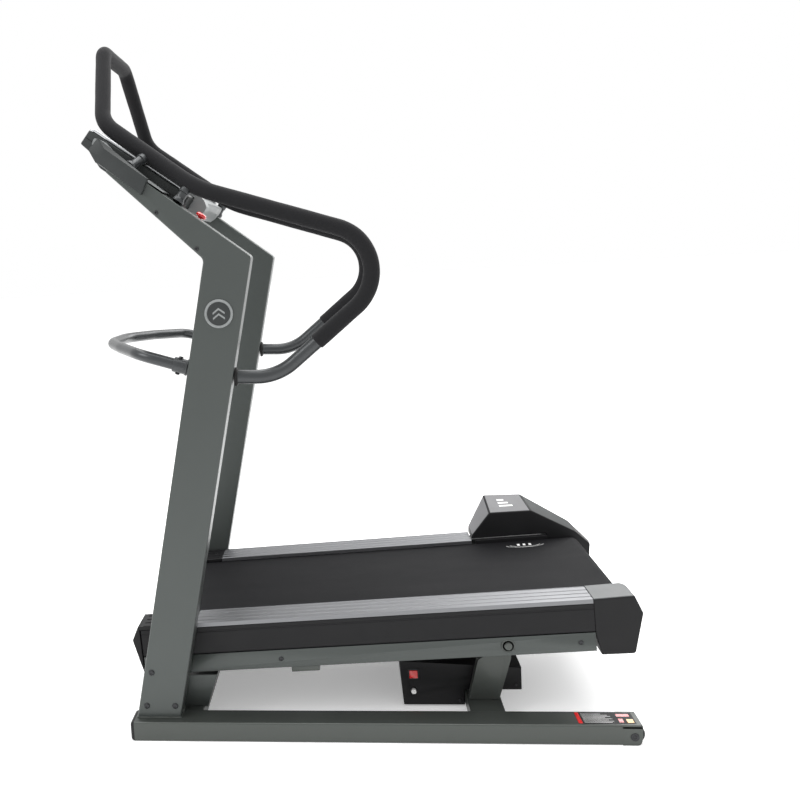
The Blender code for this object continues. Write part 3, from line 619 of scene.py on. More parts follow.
# ---------------------------------------------------------------- the bench that every piece passes over
class Bench:
    """Turns solids into dressed pieces that ride on the frame."""

    def __init__(self, frame: dict) -> None:
        """Keep the frame and start with no materials.
        """
        self.frame = frame
        self.materials: dict[str, bpy.types.Material] = {}
        self.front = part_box("base_rail_near")[0].x
        incline = next(joint for joint in frame["joints"] if joint["name"] == "deck_incline")
        self.floor = Matrix.Translation((self.front, 0, 0))
        self.deck = Matrix.Translation(incline["pos_m"]) @ Matrix.Rotation(-DECK_SLOPE, 4, "Y")
        self.console = Matrix.Translation((self.front - 0.010, 0, 1.6445)) @ Matrix.Rotation(CONSOLE_SLOPE,
                                                                                             4, "Y")

    def material(self, finish: str) -> bpy.types.Material:
        """Return the finish's material, made once."""
        if finish not in self.materials:
            kit = NodeKit(finish)
            FINISHES[finish].dress(kit)
            self.materials[finish] = kit.material
        return self.materials[finish]

    def place(self, name: str, mesh: bpy.types.Mesh, finish: str, slot: Slot, body: str = "root",
              stands_for: Sequence[str] = (), bevel: float = 0.0, sharp: float = 42.0) -> bpy.types.Object:
        """Put a piece on its body.

        Args:
            name: The piece's name.
            mesh: Its mesh, in world metres.
            finish: The name of its finish.
            slot: The record's slot; not used.
            body: The CAD body that it rides on.
            stands_for: CAD nodes that it replaces.
            bevel: Width of its softened edges; 0 leaves them to the mesh.
            sharp: Edges that turn by more than this many degrees stay sharp.

        Returns:
            The piece.
        """
        piece = bpy.data.objects.new(name, mesh)
        bpy.context.scene.collection.objects.link(piece)
        mesh.materials.clear()
        mesh.materials.append(self.material(finish))
        mesh.shade_smooth()
        if bevel:
            self.soften(piece, bevel)
        else:
            mesh.set_sharp_from_angle(angle=math.radians(sharp))
        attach(piece, body)
        if stands_for:
            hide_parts(*stands_for)
        LOG.info("placed %s on %s", name, body)
        return piece

    def fit(self, name: str, solid: Solid, frame: Matrix, finish: str, slot: Slot, body: str = "root",
            stands_for: Sequence[str] = (), bevel: float = 0.0) -> bpy.types.Object:
        """Place a solid that was drawn in one of the bench's frames.

        Args:
            name: The piece's name.
            solid: Its shape, in the frame's own metres.
            frame: Where that frame stands in the world.
            finish: The name of its finish.
            slot: The record's slot, passed on to place.
            body: The CAD body that it rides on.
            stands_for: CAD nodes that it replaces.
            bevel: Width of its softened edges.

        Returns:
            The piece.
        """
        return self.place(name, solid.moved(frame).mesh(name), finish, slot, body, stands_for, bevel)

    @staticmethod
    def soften(piece: bpy.types.Object, width: float, segments: int = 3) -> None:
        """Round a piece's edges and keep its flat faces flat."""
        bevel = piece.modifiers.new("Soft edges", "BEVEL")
        bevel.width = width
        bevel.segments = segments
        bevel.limit_method = "ANGLE"
        bevel.angle_limit = math.radians(32)
        bevel.harden_normals = True
        bevel.use_clamp_overlap = True

    def refine(self, node: str, finish: str, slot: Slot, bevel: float = 0.0, sharp: float = 50.0) -> None:
        """Replace a CAD node by a clean copy with flat faces merged, edges softened and a finish.

        Args:
            node: The CAD node.
            finish: The name of the copy's finish.
            slot: The record's slot.
            bevel: Width of its softened edges; 0 keeps the edges that the node has.
            sharp: Edges that turn by more than this many degrees stay sharp.
        """
        source = self.frame["nodes"][node]
        bm = bmesh.new()
        bm.from_mesh(source.data)
        bmesh.ops.remove_doubles(bm, verts=bm.verts, dist=1e-6)
        bmesh.ops.dissolve_limit(bm, angle_limit=math.radians(0.4), verts=bm.verts, edges=bm.edges)
        mesh = bpy.data.meshes.new(node + "_finished")
        bm.to_mesh(mesh)
        bm.free()
        piece = self.place(node + "_finished", mesh, finish, slot, source["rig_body"], [node], bevel, sharp)
        if not bevel:
            tidy = piece.modifiers.new("Flat faces first", "WEIGHTED_NORMAL")
            tidy.keep_sharp = True



def deck_points(points: Sequence[Point2]) -> list[Point2]:
    """Return an outline given along the deck and above its top face, in the pivot's own frame."""
    return [(u, v + PIVOT_DEPTH) for u, v in points]


# Design sizes shared by several sub-assemblies
DECK_SLOPE = math.radians(3.0)
PIVOT_DEPTH = 0.116
DECK_HALF = 0.349
BELT_ZONE = 0.2455
BELT_HALF = 0.2425
DECK_FRONT = -1.0165
DECK_REAR = 0.2295
SKIRT_DROP = 0.0925
FRAME_DROP = 0.144
ROLLER_DROP = 0.0405
FRONT_ROLLER_U = -0.985
FOOT_RAIL_START = -0.853
REAR_ROLLER_U = 0.300
UPRIGHT_OUTER_Y = 0.4246
UPRIGHT_INNER_Y = 0.3559
CONSOLE_SLOPE = math.atan2(0.754, 1.0)


class Head(Enum):
    """Kinds of fastener head."""

    SOCKET = "socket"
    HEX = "hex"
    CROSS = "cross"


@dataclass
class Fasteners:
    """Bolts and screws, each with a washer or a recess of its own."""

    bench: Bench
    count: dict[str, int] = field(default_factory=dict)

    @staticmethod
    def profile(head: Head, size: float) -> list[tuple[float, ...]]:
        """Return a head's turned profile.

        Args:
            head: The kind of head.
            size: Its radius.
        """
        if head is Head.HEX:
            return [(-0.3 * size, 0.6 * size), (0.0, 1.45 * size), (0.12 * size, 1.45 * size),
                    (0.14 * size, 1.05 * size, 6),
                    (0.72 * size, 1.05 * size, 6), (0.82 * size, 0.86 * size)]
        depth = 0.30 if head is Head.SOCKET else 0.12
        sides = (6,) if head is Head.SOCKET else (4,)
        return [(-0.3 * size, 0.6 * size), (0.0, 0.97 * size), (0.10 * size, size),
                (0.28 * size, 0.93 * size),
                (0.42 * size, 0.72 * size), (0.46 * size, 0.52 * size), (0.46 * size, 0.46 * size, *sides),
                (depth * size, 0.42 * size, *sides)]

    def add(self, group: str, spots: Iterable[tuple[Vector, Vector]], head: Head, size: float,
            body: str = "root",
            finish: str = "bolt_steel", matrix: Matrix | None = None) -> None:
        """Add a group of equal fasteners as one piece.

        Args:
            group: The piece's name.
            spots: Seat point and outward direction of each.
            head: The kind of head.
            size: The head's radius.
            body: The CAD body they ride on.
            finish: The name of their finish.
            matrix: A move applied to them all, such as the deck's.
        """
        solid = Solid()
        for seat, direction in spots:
            solid.turned(self.profile(head, size), seat, direction, 24)
        if matrix:
            solid.moved(matrix)
        self.bench.place(group, solid.mesh(group), finish, Slot.STEEL, body)


@dataclass
class Handrail:
    """Bent steel tube, its foam sleeve, grommets, posts and the U-shaped front bar."""

    bench: Bench
    tube_radius: float = 0.019
    foam_radius: float = 0.022
    half_width: float = 0.390
    height: float = 1.003
    hoop_half: float = 0.133
    hoop_height: float = 1.932
    turn_half: float = 0.303
    post_radius: float = 0.013
    bar_radius: float = 0.016
    bar_height: float = 1.033
    bar_apex: float = -0.070

    def half(self) -> list[Vector]:
        """Return the near half of the handrail's centre line, measured from the rails' front end."""
        y = -self.half_width
        start = 0.129 + 0.271 * (self.height - 0.055) / 1.265 + 0.0052
        corners = [(start, y, self.height), (0.450, y, self.height - 0.006), (0.834, y, 1.309),
                   (0.262, y + 0.006, 1.509), (0.004, -self.turn_half, 1.709),
                   (-0.020, -self.hoop_half, self.hoop_height),
                   (-0.020, 0.0, self.hoop_height)]
        return filleted(corners, [0.150, 0.1215, 0.250, 0.095, 0.045])

    def build(self) -> None:
        """Build every piece of the handrail."""
        shift = Matrix.Translation((self.bench.front, 0, 0))
        path = stations(mirrored(self.half()[:-1]), 0.030)
        first = next(i for i, p in enumerate(path) if p.x > 0.545)
        self.tube(path, shift)
        self.sleeve(path[first:len(path) - first], shift)
        self.grommets(path, shift)
        for node in ("rail_post_front_near", "rail_post_front_far", "rail_post_rear_near",
                     "rail_post_rear_far"):
            self.post(node)
        self.front_bar(shift)

    def tube(self, path: Sequence[Vector], shift: Matrix) -> None:
        """Build the steel tube as one bent bar."""
        solid = Solid().sweep(path, self.tube_radius).moved(shift)
        self.bench.place("handrail_bent_tube", solid.mesh("handrail_bent_tube"), "tube_paint",
                         Slot.FRAME_PAINT,
                         stands_for=["handrail_tube"])

    def sleeve(self, path: Sequence[Vector], shift: Matrix) -> None:
        """Build the foam sleeve with rounded ends and a faint unevenness along its length."""
        length = sum((b - a).length for a, b in zip(path, path[1:]))
        ease = 0.0045
        start = [path[0].lerp(path[1], t / (path[1] - path[0]).length) for t in (0.0, 0.0008, 0.002, ease)]
        end = [path[-1].lerp(path[-2], t / (path[-1] - path[-2]).length) for t in (0.0, 0.0008, 0.002,
                                                                                   ease)]
        line = start + list(path[1:-1]) + end[::-1]

        def radius(travelled: float) -> float:
            """Return the sleeve's radius at a distance from its start."""
            edge = max(0.0, min(travelled, length - travelled))
            swell = 0.00018 * math.sin(travelled * 41.0) + 0.00012 * math.sin(travelled * 97.0)
            if edge < ease:
                share = edge / ease
                return self.tube_radius + 0.0004 + (self.foam_radius - self.tube_radius - 0.0004) * math.sqrt(
                    max(0.0, 1 - (1 - share) ** 2))
            return self.foam_radius + swell

        solid = Solid().sweep(line, radius, 48).moved(shift)
        foam = self.bench.place("handrail_foam_sleeve", solid.mesh("handrail_foam_sleeve"), "foam",
                                Slot.FOAM,
                                stands_for=["handrail_foam"], sharp=60)

    def grommets(self, path: Sequence[Vector], shift: Matrix) -> None:
        """Build the rubber ring where the tube enters each upright."""
        profile = [(-0.001, 0.0195), (0.0, 0.0245), (0.0025, 0.0255), (0.006, 0.0250), (0.0085, 0.0225),
                   (0.009, 0.0195)]
        for label, side in SIDES.items():
            seat = Vector((path[0].x - 0.0015, -side * path[0].y, path[0].z))
            solid = Solid().turned(profile, seat, (1, 0, -0.04)).moved(shift)
            name = f"tube_grommet_{label}"
            self.bench.place(name, solid.mesh(name), "rubber", Slot.RUBBER)

    def post(self, node: str) -> None:
        """Replace one round post by a smooth one with a weld fillet at its foot and a saddle at its top."""
        points = sorted((vertex.co.copy() for vertex in self.bench.frame["nodes"][node].data.vertices),
                        key=lambda point: (point.x * math.sin(CONSOLE_SLOPE)
                                           + point.z * math.cos(CONSOLE_SLOPE)))
        half = len(points) // 2
        foot = sum(points[:half], Vector()) / half
        tip = sum(points[-half:], Vector()) / half
        length, r = (tip - foot).length, self.post_radius
        profile = [(-0.006, r), (-0.006, r + 0.0045), (0.000, r + 0.0040), (0.006, r + 0.0006), (0.007, r),
                   (length - 0.010, r), (length - 0.009, r + 0.0022), (length + 0.0035, r + 0.0022),
                   (length + 0.0055, r + 0.0005)]
        solid = Solid().turned(profile, foot, tip - foot, 40)
        self.bench.place(node + "_round", solid.mesh(node + "_round"), "tube_paint", Slot.FRAME_PAINT,
                         stands_for=[node])

    def front_bar(self, shift: Matrix) -> None:
        """Build the U-shaped bar, its sleeves and the bolts through them."""
        z = self.bar_height
        corners = [(0.2135, -self.half_width, z - 0.0010), (0.080, -self.half_width + 0.001, z + 0.0415),
                   (-0.008, -0.235, z + 0.051), (self.bar_apex, -0.095, z + 0.055),
                   (self.bar_apex, 0.0, z + 0.055)]
        half = filleted(corners, [0.075, 0.200, 0.200])
        path = stations(mirrored(half[:-1]), 0.030)
        solid = Solid().sweep(path, self.bar_radius).moved(shift)
        self.bench.place("front_bar_bent", solid.mesh("front_bar_bent"), "tube_paint", Slot.FRAME_PAINT,
                         stands_for=["front_bar"])
        spots = []
        along = (half[0] - half[1]).normalized()
        along = Vector((along.x, 0, along.z)).normalized()
        profile = [(-0.036, 0.0165), (-0.036, 0.0195), (-0.035, 0.0205), (-0.002, 0.0205), (0.000, 0.0225),
                   (0.004, 0.0225), (0.006, 0.0205), (0.010, 0.0205)]
        for label, side in SIDES.items():
            foot = Vector((half[0].x, side * self.half_width, half[0].z))
            sleeve = Solid().turned(profile, foot - along * 0.008, along).moved(shift)
            name = f"front_bar_sleeve_{label}"
            self.bench.place(name, sleeve.mesh(name), "tube_paint", Slot.FRAME_PAINT,
                             stands_for=[f"bar_sleeve_{label}"])
            up = Vector((-along.z, 0, along.x))
            middle = foot - along * 0.028
            spots += [(middle + up * 0.0200, up), (middle - up * 0.0200, -up)]
        Fasteners(self.bench).add("front_bar_bolts", spots, Head.HEX, 0.0060, matrix=shift)


def rounded(outline: Sequence[Point2], radii: float | Sequence[float], steps: int = 6) -> list[Point2]:
    """Return a closed outline with each corner turned into an arc.

    Args:
        outline: The corners.
        radii: One radius, or one for each corner; 0 leaves a corner sharp but repeats it.
        steps: Pieces of each arc.
    """
    count = len(outline)
    sizes = [radii] * count if isinstance(radii, (int, float)) else list(radii)
    points = []
    for i, (corner, radius) in enumerate(zip(outline, sizes)):
        here = Vector(corner)
        back = Vector(outline[i - 1]) - here
        ahead = Vector(outline[(i + 1) % count]) - here
        half = max(0.05, back.angle(ahead) / 2)
        reach = min(radius / math.tan(half), 0.46 * back.length, 0.46 * ahead.length)
        if reach < 1e-5:
            points.append((here.x, here.y))
            continue
        start = here + back.normalized() * reach
        end = here + ahead.normalized() * reach
        for k in range(steps + 1):
            t = k / steps
            spot = start * (1 - t) ** 2 + here * 2 * t * (1 - t) + end * t ** 2
            points.append((spot.x, spot.y))
    return points


# ---------------------------------------------------------------- base
@dataclass
class Base:
    """Two long box rails with end caps and wheels, joined by crossbeams."""

    bench: Bench
    stand_end: Point2 = (0.3385, 0.3412)
    length: float = 1.347
    outer_y: float = 0.454
    width: float = 0.080
    height: float = 0.055
    wall: float = 0.003
    corner: float = 0.006
    wheel_x: float = 1.330
    wheel_z: float = 0.027
    wheel_radius: float = 0.0245

    def build(self) -> None:
        """Build the rails, caps, wheels and crossbeams."""
        for label, side in SIDES.items():
            self.rail(label, side)
            self.cap(label, side)
            self.wheel(label, side)
            self.label_bars(label, side)
        for node in ("front_crossbeam", "rear_crossbeam"):
            self.bench.refine(node, "rail_paint", Slot.RAIL_PAINT)
        for node in ("lift_bracket", "pivot_post_near", "pivot_post_far"):
            self.bench.refine(node, "rail_paint", Slot.RAIL_PAINT, 0.0012)
        self.end_plates()
        self.pads()

    def section(self, inset: float, side: int) -> list[Point2]:
        """Return the rail's (y, z) section, drawn in by the inset."""
        y0, y1 = self.outer_y - self.width + inset, self.outer_y - inset
        corners = [(side * y0, inset), (side * y1, inset), (side * y1, self.height - inset),
                   (side * y0, self.height - inset)]
        return rounded(corners, self.corner - inset)

    def rail(self, label: str, side: int) -> None:
        """Build one hollow rail; its floor is open over the wheel."""
        notch = self.wheel_x - self.wheel_radius - 0.008
        solid = Solid()
        outer, inner = self.section(0.0, side), self.section(self.wall, side)
        rings = []
        for line, x in ((outer, 0.0), (outer, notch), (inner, notch), (inner, 0.0)):
            rings.append(solid.ring((x, y, z) for y, z in line))
        solid.skin(rings, closed=True)
        y0, y1 = self.outer_y - self.width, self.outer_y
        lower, upper = self.height * 0.45, self.height
        end = rounded([(notch - 0.0002, 0.0), (self.length - 0.004, 0.0), (self.length, lower),
                       (self.length, upper - 0.002),
                       (notch - 0.0002, upper - 0.002)], [0, 0.018, 0.010, 0.003, 0])
        for inner_y, outer_y in ((y0, y0 + self.wall), (y1 - self.wall, y1)):
            solid.prism(end, side * inner_y, side * outer_y)
        lid = rounded([(side * y0, upper - self.corner * 1.5), (side * y1, upper - self.corner * 1.5),
                       (side * y1, upper),
                       (side * y0, upper)], [0, 0, self.corner, self.corner])
        solid.section([(notch - 0.0002, y, z) for y, z in lid], Vector((self.length - 0.001 - notch, 0, 0)))
        name = f"base_rail_tube_{label}"
        self.bench.fit(name, solid, self.bench.floor, "rail_paint", Slot.RAIL_PAINT,
                       stands_for=[f"base_rail_{label}"])

    def cap(self, label: str, side: int) -> None:
        """Build one moulded end cap with a crowned face."""
        rings = []
        solid = Solid()
        for x, inset in ((-0.0002, 0.0003), (-0.004, 0.0006), (-0.0075, 0.002), (-0.0100, 0.005),
                         (-0.0113, 0.010),
                         (-0.0115, 0.018)):
            y0, y1 = self.outer_y - self.width + inset, self.outer_y - inset
            line = rounded([(side * y0, inset), (side * y1, inset), (side * y1, self.height - inset),
                            (side * y0, self.height - inset)], self.corner)
            rings.append(solid.ring((x, y, z) for y, z in line))
        solid.skin(rings)
        name = f"rail_end_cap_{label}"
        self.bench.fit(name, solid, self.bench.floor, "black_plastic", Slot.BLACK_PLASTIC,
                       stands_for=[f"rail_cap_{label}"])

    def wheel(self, label: str, side: int) -> None:
        """Build one transport wheel with a grooved tread, and the bolt cover on the rail's outer face."""
        half, radius = self.width / 2 - self.wall - 0.004, self.wheel_radius
        profile = [(-half - 0.0035, 0.006), (-half, 0.006), (-half, 0.012), (-half + 0.002, 0.013),
                   (-half, 0.015),
                   (-half, radius - 0.003), (-half + 0.003, radius)]
        for groove in (-0.012, 0.0, 0.012):
            profile += [(groove - 0.002, radius), (groove - 0.001, radius - 0.0012),
                        (groove + 0.001, radius - 0.0012),
                        (groove + 0.002, radius)]
        profile += [(half - 0.003, radius), (half, radius - 0.003), (half, 0.015), (half - 0.002, 0.013),
                    (half, 0.012),
                    (half, 0.006), (half + 0.0035, 0.006)]
        centre = (self.wheel_x, side * (self.outer_y - self.width / 2), self.wheel_z)
        name = f"transport_wheel_tyre_{label}"
        self.bench.fit(name, Solid().turned(profile, centre, (0, 1, 0)), self.bench.floor, "rubber",
                       Slot.RUBBER, f"transport_wheel_{label}", [f"transport_wheel_{label}"])
        face = Vector((self.wheel_x - 0.003, side * self.outer_y, self.wheel_z - 0.004))
        cover = [(-0.001, 0.0105), (0.0006, 0.0110), (0.0016, 0.0105), (0.0020, 0.0092)]
        name = f"wheel_bolt_cover_{label}"
        self.bench.fit(name, Solid().turned(cover, face, (0, side, 0)), self.bench.floor, "bolt_steel",
                       Slot.STEEL)
        Fasteners(self.bench).add(f"wheel_bolt_{label}",
                                  [(face + Vector((0, side * 0.0010, 0)), Vector((0, side, 0)))],
                                  Head.SOCKET, 0.0062, matrix=self.bench.floor)

    def label_bars(self, label: str, side: int) -> None:
        """Build a plain notice of thin pale bars and coloured fields near the rail's rear end."""
        y = side * (self.outer_y - self.width / 2)
        top, x0, x1 = self.height, 1.190, 1.334

        def patch(name: str, finish: str, slot: Slot, spans: Iterable[tuple[float, float, float, float]],
                  lift: float) -> None:
            """Place thin fields given as (x0, x1, y0, y1) on the rail's top."""
            solid = Solid()
            for start, end, low, high in spans:
                solid.block((start, y + low, top - 0.0002), (end, y + high, top + lift))
            self.bench.fit(f"{name}_{label}", solid, self.bench.floor, finish, slot)

        patch("notice_plate", "black_plastic", Slot.BLACK_PLASTIC, [(x0, x1, -0.031, 0.031)], 0.0003)
        patch("notice_end", "red", Slot.RED, [(x0 + 0.001, x0 + 0.011, -0.030, 0.030)], 0.0005)
        lines = [(x0 + 0.016, x0 + 0.016 + reach, -0.025 + i * 0.0066, -0.0238 + i * 0.0066)
                 for i, reach in enumerate((0.070, 0.076, 0.064, 0.074, 0.058, 0.072, 0.066, 0.050))]
        patch("notice_lines", "white", Slot.WHITE, lines, 0.0005)
        patch("notice_field", "amber", Slot.RED, [(x1 - 0.020, x1 - 0.004, -0.026, -0.006)], 0.0005)
        patch("notice_square", "red", Slot.RED, [(x1 - 0.040, x1 - 0.029, -0.024, -0.004),
                                                 (x1 - 0.040, x1 - 0.008, 0.008, 0.022)], 0.0005)

    def end_plates(self) -> None:
        """Build the plates that close the front stand's ends."""
        outline = rounded([(0.071, 0.0515), (0.1945, 0.0515), (0.2262, 0.1435), (0.1010, 0.1415)], 0.002)
        inner, outer = self.stand_end
        for label, side in SIDES.items():
            plate = Solid().prism(outline, side * inner, side * outer)
            self.bench.fit(f"front_stand_end_{label}", plate, self.bench.floor, "frame_paint",
                           Slot.RAIL_PAINT, bevel=0.0010)

    def pads(self) -> None:
        """Build four thin rubber feet under the rails."""
        solid = Solid()
        for side in SIDES.values():
            for x in (0.045, 1.230):
                centre = (x, side * (self.outer_y - self.width / 2), 0.0)
                solid.turned([(0.0002, 0.026), (0.0012, 0.027), (0.0030, 0.026)], centre, (0, 0, 1), 32)
        self.bench.fit("rail_feet", solid, self.bench.floor, "rubber", Slot.RUBBER)


# ---------------------------------------------------------------- uprights
@dataclass
class Uprights:
    """The two leaning box uprights with their arms, badges, bolts and weld seams."""

    bench: Bench
    foot_x: float = 0.005
    depth: float = 0.124
    foot_z: float = 0.0553
    elbow: Point2 = (0.276, 1.320)
    tip: Point2 = (0.029, 1.566)
    top_tip: Point2 = (0.058, 1.594)
    badge: Point2 = (0.308, 1.176)
    badge_radius: float = 0.038

    def build(self) -> None:
        """Build both uprights."""
        for label, side in SIDES.items():
            self.upright(label, side)
            self.seam(label, side)
            self.mark(label, side)
            self.bolts(label, side)

    def upright(self, label: str, side: int) -> None:
        """Build one bent box section with rounded edges."""
        rear = self.foot_x + self.depth
        outline = [(self.foot_x, self.foot_z), (rear, self.foot_z),
                   (self.elbow[0] + self.depth + 0.002, self.elbow[1]),
                   self.top_tip, self.tip, self.elbow]
        line = rounded(outline, [0, 0, 0.014, 0.006, 0.006, 0.020])
        solid = Solid().prism(line, side * UPRIGHT_INNER_Y, side * UPRIGHT_OUTER_Y).moved(self.bench.floor)
        name = f"upright_box_{label}"
        self.bench.place(name, solid.mesh(name), "frame_paint", Slot.FRAME_PAINT,
                         stands_for=[f"upright_{label}"],
                         bevel=0.0055)

    def seam(self, label: str, side: int) -> None:
        """Build the weld bead round the foot."""
        z = self.foot_z + 0.0008
        x0, x1 = self.foot_x + 0.001, self.foot_x + self.depth + 0.001
        corners = [(x0, side * UPRIGHT_INNER_Y, z), (x1, side * UPRIGHT_INNER_Y, z),
                   (x1, side * UPRIGHT_OUTER_Y, z),
                   (x0, side * UPRIGHT_OUTER_Y, z), (x0, side * UPRIGHT_INNER_Y, z)]
        path = stations([Vector(corner) for corner in corners], 0.0022)
        solid = Solid().sweep(path, lambda travelled: 0.0024 + 0.0005 * math.sin(travelled * 1500), 10)
        self.bench.fit(f"foot_weld_{label}", solid, self.bench.floor, "rail_paint", Slot.FRAME_PAINT)

    def mark(self, label: str, side: int) -> None:
        """Build the round badge: a pale ring, a dark field and a plain pair of chevrons."""
        centre = (self.badge[0], side * UPRIGHT_OUTER_Y, self.badge[1])
        r = self.badge_radius
        ring = [(0.0003, r - 0.0015), (0.0012, r), (0.0030, r), (0.0042, r - 0.0012), (0.0042, r - 0.0052),
                (0.0026, r - 0.0066), (0.0022, r - 0.0068)]
        name = f"badge_ring_{label}"
        self.bench.fit(name, Solid().turned(ring, centre, (0, side, 0), 64), self.bench.floor,
                       "light_plastic", Slot.LIGHT_PLASTIC, stands_for=[f"badge_{label}"])
        field_disc = [(0.0012, r - 0.0072), (0.0026, r - 0.0070), (0.0028, r - 0.0080)]
        name = f"badge_field_{label}"
        self.bench.fit(name, Solid().turned(field_disc, centre, (0, side, 0), 64), self.bench.floor,
                       "dark_plastic", Slot.DARK_PLASTIC)
        solid = Solid()
        for rise in (-0.010, 0.004):
            chevron = [(-0.016, rise - 0.006), (0.0, rise + 0.006), (0.016, rise - 0.006),
                       (0.016, rise - 0.0005),
                       (0.0, rise + 0.0115), (-0.016, rise - 0.0005)]
            solid.prism([(centre[0] + x, centre[2] + z) for x, z in chevron], centre[1] + side * 0.0024,
                        centre[1] + side * 0.0034)
        name = f"badge_chevrons_{label}"
        self.bench.fit(name, solid, self.bench.floor, "light_plastic", Slot.LIGHT_PLASTIC, bevel=0.0003)

    def bolts(self, label: str, side: int) -> None:
        """Add the foot bolts and the screws along the arm."""
        out = Vector((0, side, 0))
        foot = [(Vector((x, side * UPRIGHT_OUTER_Y, z)), out) for x,
                z in ((0.055, 0.187), (0.035, 0.090), (0.116, 0.090))]
        Fasteners(self.bench).add(f"foot_bolts_{label}", foot, Head.SOCKET, 0.0085, matrix=self.bench.floor)
        arm = [(Vector((x, side * UPRIGHT_OUTER_Y, z)), out) for x, z in ((0.159, 1.450), (0.260, 1.349))]
        Fasteners(self.bench).add(f"arm_screws_{label}", arm, Head.CROSS, 0.0060, matrix=self.bench.floor)


